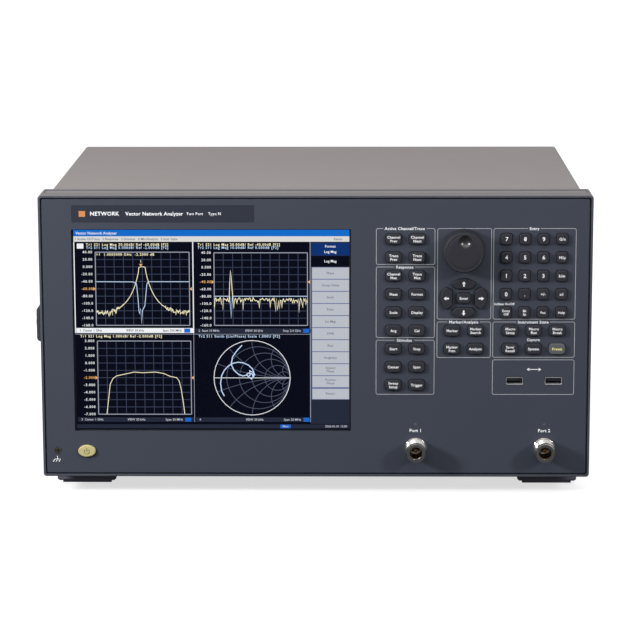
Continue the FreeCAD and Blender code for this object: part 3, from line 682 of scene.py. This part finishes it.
class Picture:
    """The display picture: places run 0 to 1 across and down, in thin layers from back to front."""

    LAYER = 0.03

    def __init__(self):
        self.layers = {}

    def place(self, u, v):
        return PICTURE_LEFT + u * PICTURE_W, PICTURE_TOP - v * PICTURE_H

    def drawing(self, colour, layer):
        return self.layers.setdefault((colour, layer), Drawing()), SCREEN_Y - self.LAYER * (layer + 1)

    def block(self, colour, u0, v0, u1, v1, layer):
        drawing, y = self.drawing(colour, layer)
        (x0, z1), (x1, z0) = self.place(u0, v0), self.place(u1, v1)
        drawing.rect(x0, x1, z0, z1, y)

    def line(self, colour, points, width, layer):
        drawing, y = self.drawing(colour, layer)
        drawing.line([self.place(u, v) for u, v in points], width, y)

    def circle(self, colour, u, v, radius, width, layer):
        drawing, y = self.drawing(colour, layer)
        drawing.ring(*self.place(u, v), radius, width, y)

    def text(self, colour, words, u, v, size, align="LEFT", spacing=1.0, layer=4):
        drawing, y = self.drawing(colour, layer)
        drawing.text(words, *self.place(u, v), size, y, align, SCREEN_WEIGHT, spacing)

    def finish(self):
        made = {}
        for (colour, layer), drawing in self.layers.items():
            made.setdefault(colour, lit("screen_" + colour, linear(*SCREEN[colour])))
            drawing.finish(f"screen_{colour}_{layer}", made[colour], slot="display_glass")


# The picture's colours, 0 to 255
SCREEN = {
    "night": (8, 11, 24),
    "slate": (38, 43, 60),
    "title": (16, 50, 112),
    "grid": (60, 68, 92),
    "frame": (158, 164, 180),
    "arc": (84, 92, 114),
    "blue": (20, 107, 200),
    "pale": (186, 190, 199),
    "seam": (96, 108, 150),
    "bar": (218, 217, 215),
    "white": (240, 242, 246),
    "faded": (112, 116, 130),
    "ink": (40, 44, 54),
    "yellow": (255, 246, 205),
    "orange": (240, 180, 110),
    "sky": (200, 224, 255),
    "chip": (30, 104, 205),
}

FILTER_BOX = (0.078, 0.1105, 0.419, 0.475)
SPIKE_BOX = (0.509, 0.1135, 0.848, 0.475)
FLAT_BOX = (0.080, 0.5535, 0.4215, 0.923)
SMITH_CENTRE, SMITH_R = (0.6445, 0.7385), 29.6
SCREEN_WEIGHT = 0.014  # how far its letters are thickened
LABEL_SIZE, HEADING_SIZE, STATUS_SIZE, BUTTON_SIZE = 2.8, 2.8, 2.5, 2.6
LABEL_SPACING = 1.22
CELLS = 10
GRID_WIDTH, BORDER_WIDTH, TRACE_WIDTH, REFLECTION_WIDTH, ARC_WIDTH = 0.5, 0.65, 0.5, 0.75, 0.42
STEPS, SPIKE_STEPS = 190, 120


def grid(picture, u0, v0, u1, v1):
    """A ten by ten graticule with a brighter border."""
    for n in range(1, CELLS):
        u, v = u0 + (u1 - u0) * n / CELLS, v0 + (v1 - v0) * n / CELLS
        picture.line("grid", [(u, v0), (u, v1)], GRID_WIDTH, 1)
        picture.line("grid", [(u0, v), (u1, v)], GRID_WIDTH, 1)
    edges = (((u0, v0), (u1, v0)), ((u0, v1), (u1, v1)), ((u0, v0), (u0, v1)), ((u1, v0), (u1, v1)))
    for first, last in edges:
        picture.line("frame", [first, last], BORDER_WIDTH, 2)


def trace(picture, colour, box, points):
    """A trace from (x, y) points, each 0 to 1 inside the box."""
    u0, v0, u1, v1 = box
    places = [(u0 + (u1 - u0) * x, v0 + (v1 - v0) * y) for x, y in points]
    picture.line(colour, places, TRACE_WIDTH, 3)


def spiky(seed, count, spread_up, spread_down):
    """Repeatable receiver noise: small steps up and now and then a deep dip."""
    chance = random.Random(seed)
    return [spread_up * chance.uniform(-1, 1) + spread_down * chance.random() ** 8 for _ in range(count)]


def filter_height(x, noise_step):
    """The steep band-pass curve over its noise floor, as a height in its box."""
    distance = abs(x - 0.497)
    if distance < 0.036:
        return 0.198 + 0.01 * (distance / 0.036) ** 2
    skirt = 0.198 + 0.64 * (1 - math.exp(-(distance - 0.030) / 0.115)) ** 0.86
    return min(skirt, 0.815) + noise_step * min(1.0, max(0.0, (skirt - 0.70) / 0.09))


def filter_window(picture):
    grid(picture, *FILTER_BOX)
    wobble = spiky(3, STEPS + 1, 0.028, 0.05)
    curve = [(n / STEPS, filter_height(n / STEPS, wobble[n])) for n in range(STEPS + 1)]
    trace(picture, "yellow", FILTER_BOX, curve)
    dip = ((0, 0.402), (0.40, 0.405), (0.435, 0.43), (0.449, 0.62), (0.457, 0.80), (0.466, 0.84))
    dip += ((0.474, 0.77), (0.484, 0.97), (0.494, 0.80), (0.505, 0.77), (0.520, 0.74), (0.531, 0.62))
    dip += ((0.545, 0.44), (0.56, 0.402), (1, 0.402))
    trace(picture, "sky", FILTER_BOX, dip)
    marker(picture, FILTER_BOX, 0.484, 0.198)
    level_marks(picture, FILTER_BOX, 0.5)
    scale_labels(picture, FILTER_BOX, 40, -20, 5)
    reading = ">1  1.0000000 GHz  -2.2000 dB"
    picture.text("yellow", reading, 0.081, 0.1225, HEADING_SIZE, spacing=LABEL_SPACING)


def spike_window(picture):
    grid(picture, *SPIKE_BOX)
    wobble = spiky(8, SPIKE_STEPS + 1, 0.024, 0.17)
    curve = []
    for n in range(SPIKE_STEPS + 1):
        x = n / SPIKE_STEPS
        peak = max(0.0, 1 - abs(x - 0.177) / 0.021)
        curve.append((x, 0.64 + wobble[n] - (0.44 + wobble[n]) * peak))
    trace(picture, "yellow", SPIKE_BOX, curve)
    trace(picture, "sky", SPIKE_BOX, ((0, 0.597), (0.165, 0.597), (0.18, 0.90), (0.195, 0.597), (1, 0.597)))
    level_marks(picture, SPIKE_BOX, 0.4)
    scale_labels(picture, SPIKE_BOX, 40, -20, 4)


def flat_window(picture):
    grid(picture, *FLAT_BOX)
    top = ((0.09, 1), (0.11, 0.79), (0.13, 0.59), (0.16, 0.512), (0.20, 0.475), (0.31, 0.445))
    top += ((0.39, 0.4225), (0.476, 0.432), (0.62, 0.4225), (0.707, 0.4425), (0.78, 0.483))
    top += ((0.843, 0.499), (0.869, 0.539), (0.89, 0.646), (0.911, 0.82), (0.927, 0.996))
    trace(picture, "yellow", FLAT_BOX, top)
    level_marks(picture, FLAT_BOX, 0.5)
    scale_labels(picture, FLAT_BOX, 3, -1, 5)


# The reflection trace as (real, imaginary) parts: an arc from the rim, a wider arc and a last loop
REFLECTION = (
    ((-0.258, 0.874), (-0.40, 0.72), (-0.51, 0.56), (-0.545, 0.36), (-0.476, 0.206), (-0.352, 0.09),
     (-0.24, 0.051), (-0.129, 0.077)),
    ((-0.735, -0.49), (-0.80, -0.36), (-0.83, -0.15), (-0.80, 0.06), (-0.73, 0.20), (-0.63, 0.31),
     (-0.50, 0.39), (-0.36, 0.42), (-0.22, 0.40), (-0.09, 0.34), (0.01, 0.24), (0.05, 0.13), (0.03, 0.03)),
    ((0.03, 0.03), (0.07, 0.09), (0.02, 0.15), (-0.06, 0.19), (-0.05, 0.08), (-0.10, 0.03), (-0.14, 0.09),
     (-0.10, 0.13), (0.0, 0.11), (0.03, 0.03), (-0.02, -0.03), (-0.07, 0.02)),
)


SMITH_STEPS, SMITH_FAR = 24, 50.0  # the steps of a reactance arc and the resistance at its far end


def smith_arc(resistances, reactance):
    """Places on the chart, as (real, imaginary) parts, along one reactance."""
    found = []
    for resistance in resistances:
        load = complex(resistance, reactance)
        gamma = (load - 1) / (load + 1)
        found.append((gamma.real, gamma.imag))
    return found


def smith_window(picture):
    """A reflection chart: constant resistance circles, reactance arcs and a looping trace."""
    u, v = SMITH_CENTRE
    wide, high = SMITH_R / PICTURE_W, SMITH_R / PICTURE_H

    def draw(colour, points, width, layer):
        picture.line(colour, [(u + wide * x, v - high * y) for x, y in points], width, layer)

    picture.circle("white", u, v, SMITH_R, GRID_WIDTH, 3)
    resistances = [SMITH_FAR * (n / SMITH_STEPS) ** 3 for n in range(SMITH_STEPS + 1)]
    for value in (0.2, 0.5, 1.0, 2.0, 5.0):
        radius = 1 / (1 + value)
        picture.circle("arc", u + wide * (1 - radius), v, SMITH_R * radius, ARC_WIDTH, 1)
        for reactance in (value, -value):
            draw("arc", smith_arc(resistances, reactance), ARC_WIDTH, 2)
    draw("white", [(-1, 0), (1, 0)], 0.45, 3)
    for part in REFLECTION:
        draw("sky", part, REFLECTION_WIDTH, 4)


def marker(picture, box, x, y):
    """The numbered triangle over a trace's chosen point."""
    u0, v0, u1, v1 = box
    u, v = u0 + (u1 - u0) * x, v0 + (v1 - v0) * y
    drawing, depth = picture.drawing("orange", 4)
    cx, cz = picture.place(u, v)
    drawing.face([(cx, cz), (cx - 1.3, cz + 2.2), (cx + 1.3, cz + 2.2)], depth)
    picture.text("yellow", "1", u, v - 0.026, LABEL_SIZE, "CENTER")


def level_marks(picture, box, y):
    """The pointers at both ends of the reference level."""
    u0, v0, u1, v1 = box
    drawing, depth = picture.drawing("orange", 4)
    for u, side in ((u0, -1), (u1, 1)):
        x, z = picture.place(u, v0 + (v1 - v0) * y)
        drawing.face([(x, z), (x + side * 2.0, z + 1.4), (x + side * 2.0, z - 1.4)], depth)


def scale_labels(picture, box, top, step, reference):
    """The numbers left of a graticule, with four figures each."""
    u0, v0, _, v1 = box
    for n in range(11):
        value = top + step * n
        places = 3 if abs(value) < 10 else 2 if abs(value) < 100 else 1
        colour = "orange" if n == reference else "white"
        v = v0 + (v1 - v0) * n / 10
        picture.text(colour, f"{value:.{places}f}", u0 - 0.011, v, LABEL_SIZE, "RIGHT", LABEL_SPACING)


SOFT_WORDS = (
    "Phase", "Group Delay", "Smith", "Polar", "Lin Mag", "SWR", "Real", "Imaginary", "Expand\nPhase",
    "Positive\nPhase", "Return",
)
SOFT_TOP, SOFT_PITCH = 0.1844, 0.0603
SOFT_LEFT, SOFT_MIDDLE = 0.862, 0.931
# The lower edge of the bars, the left edge of the button column and the line between the windows
BARS_V, COLUMN_U, DIVIDER_U = 0.059, 0.858, 0.4325


def soft_key_column(picture):
    """The buttons down the right side of the picture."""
    picture.block("slate", COLUMN_U, BARS_V, 1.0, 0.971, 1)
    picture.block("title", SOFT_LEFT, 0.065, 1.0, 0.127, 2)
    picture.block("night", SOFT_LEFT, 0.129, 1.0, 0.182, 2)
    for v, word in ((0.082, "Format"), (0.109, "Log Mag"), (0.1555, "Log Mag")):
        picture.text("white", word, SOFT_MIDDLE, v, LABEL_SIZE, "CENTER")
    picture.block("seam", SOFT_LEFT, SOFT_TOP, 1.0, SOFT_TOP + SOFT_PITCH * len(SOFT_WORDS), 2)
    for n, word in enumerate(SOFT_WORDS):
        top = SOFT_TOP + SOFT_PITCH * n
        gap = 0.006 if word == "Return" else 0.002
        picture.block("pale", SOFT_LEFT + 0.003, top + gap, 0.999, top + SOFT_PITCH - 0.002, 3)
        picture.text("faded", word, SOFT_MIDDLE, top + SOFT_PITCH / 2, BUTTON_SIZE, "CENTER")


def status_line(picture, left, v, colour, words):
    """Start, bandwidth and stop under one window."""
    for word, offset, align in zip(words, (0.012, 0.215, 0.385), ("LEFT", "CENTER", "RIGHT")):
        picture.text(colour, word, left + offset, v, STATUS_SIZE, align)
    picture.block("chip", left + 0.394, v - 0.010, left + 0.416, v + 0.010, 4)


def status_bars(picture):
    picture.block("blue", 0, 0, 1, 0.032, 1)
    picture.block("bar", 0, 0.032, 1, BARS_V, 1)
    picture.text("white", "Vector Network Analyzer", 0.008, 0.017, 3.0)
    menu = "1 Active Ch/Trace   2 Response   3 Stimulus   4 Mkr/Analysis   5 Instr State"
    picture.text("faded", menu, 0.004, 0.046, BUTTON_SIZE)
    picture.text("faded", "Resize", 0.975, 0.046, BUTTON_SIZE, "RIGHT")
    for left, right, top, bottom, colour in (
        (0.004, 0.432, 0.4885, 0.513, "white"), (0.438, 0.860, 0.490, 0.513, "slate"),
        (0.004, 0.432, 0.939, 0.961, "slate"), (0.438, 0.860, 0.939, 0.961, "slate"),
    ):
        picture.block(colour, left, top, right, bottom, 2)
    status_line(picture, 0.004, 0.501, "ink", ("1  Center 1 GHz", "IFBW 30 kHz", "Span 200 MHz"))
    status_line(picture, 0.438, 0.502, "pale", ("2  Start 10 MHz", "IFBW 30 kHz", "Stop 2.4 GHz"))
    status_line(picture, 0.004, 0.950, "pale", ("3  Center 1 GHz", "IFBW 30 kHz", "Span 20 MHz"))
    status_line(picture, 0.438, 0.950, "pale", ("4", "IFBW 30 kHz", "Span 20 MHz"))
    picture.block("slate", 0, 0.974, 1, 0.994, 2)
    picture.block("chip", 0.747, 0.975, 0.785, 0.993, 3)
    picture.text("pale", "Meas", 0.766, 0.984, 2.2, "CENTER")
    picture.text("pale", "2026-01-01 12:00", 0.992, 0.984, 2.4, "RIGHT")
    for u in (0.001, DIVIDER_U):
        picture.line("white", [(u, 0.060), (u, 0.514)], 0.8, 3)
    picture.line("frame", [(DIVIDER_U, 0.515), (DIVIDER_U, 0.962)], 0.35, 2)
    picture.line("frame", [(0.0, 0.519), (COLUMN_U, 0.519)], 0.35, 2)
    picture.line("frame", [(COLUMN_U, 0.060), (COLUMN_U, 0.962)], 0.5, 2)


def window_headings(picture):
    picture.block("white", 0.012, 0.068, 0.036, 0.093, 3)
    for u, v, colour, words in (
        (0.045, 0.0735, "yellow", "Tr1 S21 Log Mag 20.00dB/ Ref -60.00dB [F2]"),
        (0.045, 0.0885, "sky", "Tr2 S11 Log Mag 5.000dB/ Ref -2.000dB [F2]"),
        (0.450, 0.0735, "yellow", "Tr1 S21 Log Mag 20.00dB/ Ref -40.00dB [F2]"),
        (0.450, 0.0885, "sky", "Tr2 S11 Log Mag 10.00dB/ Ref 0.000dB [F2]"),
        (0.018, 0.5300, "yellow", "Tr1 S21 Log Mag 1.000dB/ Ref -2.000dB [F2]"),
        (0.450, 0.5300, "sky", "Tr2 S11 Smith (Lin/Phase) Scale 1.000U [F2]"),
    ):
        picture.text(colour, words, u, v, HEADING_SIZE, spacing=LABEL_SPACING)


def display_picture():
    picture = Picture()
    picture.block("night", 0, -0.0047, 1, 1, 0)
    status_bars(picture)
    window_headings(picture)
    filter_window(picture)
    spike_window(picture)
    flat_window(picture)
    smith_window(picture)
    soft_key_column(picture)
    picture.finish()


# ---- pieces with more shape than their design solids ----

KNOB_STEPS, KNOB_RIB_DEPTH, KNOB_FACE_THICK = 256, 0.35, 4.8  # four steps for each of 64 ribs
DIMPLE_R, DIMPLE_DEPTH, DIMPLE_X, DIMPLE_Z = 6.0, 3.0, 0.7, 8.3


def knob():
    """The knob with its fine ribs, its flat face, the round finger dimple, the hub and the shaft."""
    low, high = span("rotary_knob")
    x, z = middle("rotary_knob")
    front, tail = low.y, high.y
    base = (high.x - low.x) / 2
    rear, inner = -0.3, front + KNOB_FACE_THICK
    profile = [(0.4, tail), (2.7, tail), (3.0, tail - 0.3), (3.0, -5.0), (6.5, -5.0), (6.5, inner)]
    profile += [(12.9, inner), (base - 2.0, rear), (base - 0.7, rear), (base, rear - 0.8)]
    profile += [(base - 0.1, rear - 1.9), (base - 1.2, front + 1.3), (base - 1.6, front + 0.45)]
    profile += [(base - 2.2, front), (base - 2.8, front), (base - 3.2, front + 0.15), (base - 3.6, front)]
    profile += [(10.0, front), (4.0, front), (0.4, front)]

    def ribbed(radius, y, n):
        grip = base - 1.3 <= radius <= base - 0.05 and front < y < rear - 1.0
        radius -= KNOB_RIB_DEPTH if grip and n % 4 in (1, 2) else 0.0
        turn = 2 * math.pi * n / KNOB_STEPS
        return at(x + radius * math.cos(turn), y, z + radius * math.sin(turn))

    work = bmesh.new()
    closed(work, turned(work, profile, KNOB_STEPS, ribbed))
    piece = finished("knob_body", work, [MATERIALS["knob"]], "rotary_knob")
    cut_dimple(piece, at(x + DIMPLE_X, front + DIMPLE_DEPTH - DIMPLE_R, z + DIMPLE_Z))
    smooth(piece, 30)
    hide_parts("rotary_knob")


def cut_dimple(piece, centre):
    """Hollows the face with a ball, then drops the ball."""
    work = bmesh.new()
    bmesh.ops.create_uvsphere(work, u_segments=64, v_segments=48, radius=DIMPLE_R * MM)
    bmesh.ops.translate(work, verts=work.verts[:], vec=centre)
    mesh = bpy.data.meshes.new("dimple_tool")
    work.to_mesh(mesh)
    work.free()
    mesh.materials.append(MATERIALS["knob_polish"])
    tool = bpy.data.objects.new("dimple_tool", mesh)
    bpy.context.scene.collection.objects.link(tool)
    cut = piece.modifiers.new("dimple", "BOOLEAN")
    cut.operation, cut.solver, cut.object = "DIFFERENCE", "EXACT", tool
    cut.material_mode = "TRANSFER"
    bpy.context.view_layer.update()
    result = evaluated_mesh(piece)
    piece.modifiers.remove(cut)
    piece.data = result
    bpy.data.objects.remove(tool)


THREAD_PITCH, THREAD_DEPTH, PORT_R, PORT_BASE, PANEL_BACK = 1.058, 0.55, 7.94, -3.4, 3.1


def ports():
    """The test ports with their coupling threads, bore steps, base flanges and rear nuts."""
    low, high = span("port_connectors")
    front, tail, groove = low.y, high.y, PORT_R - THREAD_DEPTH
    profile = [(4.6, 2.0), (4.6, front + 0.5), (4.9, front), (PORT_R - 0.9, front)]
    profile += [(PORT_R - 0.5, front + 0.5)]
    y = front + 1.6
    while y < PORT_BASE - 1.2:
        profile += [(PORT_R, y), (PORT_R, y + 0.15), (groove, y + 0.5), (groove, y + 0.6)]
        y += THREAD_PITCH
    profile += [(PORT_R, y), (PORT_R, PORT_BASE), (7.1, PORT_BASE), (7.1, -2.2), (8.4, -2.2)]
    profile += [(8.7, -1.9), (8.7, PANEL_Y), (6.5, PANEL_Y), (6.5, tail), (1.8, tail), (1.8, 20.0)]
    profile += [(4.0, 20.0), (4.0, 2.0)]
    nut = [(6.5, PANEL_BACK), (9.3, PANEL_BACK), (9.6, PANEL_BACK + 0.3), (9.6, 6.3), (9.3, 6.6)]
    nut += [(6.5, 6.6)]
    work = bmesh.new()
    for x in PORT_XS:
        turned_ring(work, profile, x, PORT_Z, 96)
        turned_ring(work, nut, x, PORT_Z, 6)
    piece = finished("port_barrels", work, [MATERIALS["port_metal"]], BODY)
    smooth(piece, 50)
    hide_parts("port_connectors")


STRAP_EDGE, STRAP_GROOVE, STRAP_RIB, STRAP_CAP_L = 1.2, 0.45, 0.3, 26.0
RIB_STEP = 1.5  # every third step along the strap carries a rib
GRIP_END, GRIP_FADE = 0.36, 0.03  # where the ribs end, from the strap's middle, and how fast


def strap_section(half, z0, z1):
    """The band's section as (x, z) points: round edges and two grooves on the outer face."""
    right, top, bottom = half - STRAP_EDGE, z1 - STRAP_EDGE, z0 + STRAP_EDGE
    grooves = []
    for z in (z1 - 3.0, z0 + 4.2):
        floor_x = STRAP_GROOVE - half
        grooves += [(-half, z), (floor_x, z - 0.4), (floor_x, z - 0.8), (-half, z - 1.2)]
    points = arc_points(right, top, STRAP_EDGE, 0, 90, 4) + arc_points(-right, top, STRAP_EDGE, 90, 90, 4)
    points += grooves
    points += arc_points(-right, bottom, STRAP_EDGE, 180, 90, 4)
    return points + arc_points(right, bottom, STRAP_EDGE, 270, 90, 4)


def strap():
    """The carrying band, with moulded grooves along it and fine grip ribs across its middle."""
    low, high = span("handle_strap")
    half, x = (high.x - low.x) / 2, (low.x + high.x) / 2
    section = strap_section(half, low.z, high.z)
    length = high.y - low.y
    steps = int(length / RIB_STEP)
    work = bmesh.new()
    rings = []
    for n in range(steps + 1):
        y = low.y + length * n / steps
        grip = min(1.0, max(0.0, (GRIP_END - abs(n / steps - 0.5)) / GRIP_FADE))
        rib = STRAP_RIB * grip if n % 3 == 0 else 0.0
        rings.append([work.verts.new(at(x + px * (1 - rib / half), y, pz)) for px, pz in section])
    closed(work, rings)
    piece = finished("strap_band", work, [MATERIALS["strap"]], BODY)
    smooth(piece, 40)
    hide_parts("handle_strap")


# A screw head as (radius, height over the cap) points, the last one in its cross recess
SCREW_HEAD = ((4.2, -0.6), (4.2, 0.2), (3.9, 0.7), (3.0, 1.1), (1.9, 1.25), (1.7, 0.5))
CROSS_WAIST, SCREW_STEPS = 0.45, 32


def strap_screws():
    """A pan head screw with a cross recess in the outer face of each strap cap."""
    low, high = span("handle_caps")
    z = (low.z + high.z) / 2
    inset = STRAP_CAP_L / 2
    work = bmesh.new()
    for y in (low.y + inset, high.y - inset):
        def crossed(radius, out, n):
            turn = 2 * math.pi * n / SCREW_STEPS
            if radius < 1.8 and n % 8 in (3, 4, 5):
                radius *= CROSS_WAIST
            return at(low.x - out, y + radius * math.cos(turn), z + radius * math.sin(turn))

        closed(work, turned(work, SCREW_HEAD, SCREW_STEPS, crossed))
    piece = finished("strap_screws", work, [MATERIALS["steel_wire"]], BODY)
    smooth(piece, 30)


# ---- stage ----

LENS_MM = 148.03
CAMERA_MM = (28.95, -1954.19, 507.88)
CAMERA_YAW, CAMERA_PITCH, CAMERA_ROLL = -0.8813, 10.963, -0.141


def camera():
    """A long lens in front of the instrument, a little above it and looking slightly down."""
    yaw, pitch, roll = (math.radians(a) for a in (CAMERA_YAW, CAMERA_PITCH, CAMERA_ROLL))
    ahead = Vector((math.sin(yaw) * math.cos(pitch), math.cos(yaw) * math.cos(pitch), -math.sin(pitch)))
    level = Vector((math.cos(yaw), -math.sin(yaw), 0))
    above = level.cross(ahead)
    right = level * math.cos(roll) + above * math.sin(roll)
    up = above * math.cos(roll) - level * math.sin(roll)
    data = bpy.data.cameras.new("camera")
    data.lens = LENS_MM
    data.sensor_width = 36.0
    data.clip_end = 60.0
    holder = bpy.data.objects.new("camera", data)
    bpy.context.scene.collection.objects.link(holder)
    turn = Matrix((right, up, -ahead)).transposed().to_4x4()
    holder.matrix_world = Matrix.Translation(at(*CAMERA_MM)) @ turn
    bpy.context.scene.camera = holder


def area_light(name, place, target, size, power):
    data = bpy.data.lights.new(name, "AREA")
    data.shape = "RECTANGLE"
    data.size, data.size_y = size
    data.energy = power
    light = bpy.data.objects.new(name, data)
    light.location = place
    light.rotation_mode = "QUATERNION"
    light.rotation_quaternion = (Vector(target) - Vector(place)).to_track_quat("-Z", "Y")
    bpy.context.scene.collection.objects.link(light)


WORLD_BELOW, WORLD_ABOVE, WORLD_RISE = 0.10, 1.06, (0.0, 0.75)


def studio_world():
    """A white room that is bright above and dim below."""
    world = bpy.data.worlds.new("studio")
    world.use_nodes = True
    tree = world.node_tree
    background = tree.nodes["Background"]
    background.inputs["Color"].default_value = (1, 1, 1, 1)
    place = tree.nodes.new("ShaderNodeTexCoord")
    height = height_of(tree, place.outputs["Generated"])
    strength = remap(tree, height, WORLD_RISE, (WORLD_BELOW, WORLD_ABOVE))
    tree.links.new(strength, background.inputs["Strength"])
    bpy.context.scene.world = world


def lighting():
    studio_world()
    area_light("left_front", (-1.05, -0.85, 0.62), (0, -0.15, 0.12), (0.22, 0.22), 17)
    area_light("right_front", (1.3, -1.25, 0.8), (0.05, -0.15, 0.12), (0.3, 0.3), 12)
    area_light("behind", (0.9, 1.3, 0.16), (0, 0.17, 0.12), (0.4, 0.1), 5)
    area_light("above_front", (-0.1, -0.52, 0.72), (0, -0.17, 0.18), (0.9, 0.12), 1.1)


FLOOR_GLOW, FLOOR_TONE = 0.66, 0.48


def floor():
    """A wide white sweep with a faint mottle; its own glow keeps the shadows pale."""
    work = bmesh.new()
    bmesh.ops.create_grid(work, x_segments=4, y_segments=4, size=20.0)
    mesh = bpy.data.meshes.new("floor")
    work.to_mesh(mesh)
    work.free()
    sheet = bpy.data.objects.new("floor", mesh)
    bpy.context.scene.collection.objects.link(sheet)
    tone = (FLOOR_TONE, FLOOR_TONE, FLOOR_TONE, 1)
    white = textured("floor_white", tone, 8.0, 0.0, 0.9, specular=0.0, vary=0.01)
    shader = white.node_tree.nodes["Principled BSDF"]
    shader.inputs["Emission Color"].default_value = (1, 1, 1, 1)
    shader.inputs["Emission Strength"].default_value = FLOOR_GLOW
    mesh.materials.append(white)
    sheet.visible_diffuse = False
    sheet.visible_glossy = False


def colour_management():
    bpy.context.scene.view_settings.view_transform = "Standard"
    bpy.context.scene.view_settings.look = "None"


colour_management()
camera()
lighting()
floor()
dress_frame()
panel_printing()
name_strip()
key_printing()
arrow_printing()
power_mark()
rear_printing()
display_picture()
knob()
ports()
strap()
strap_screws()
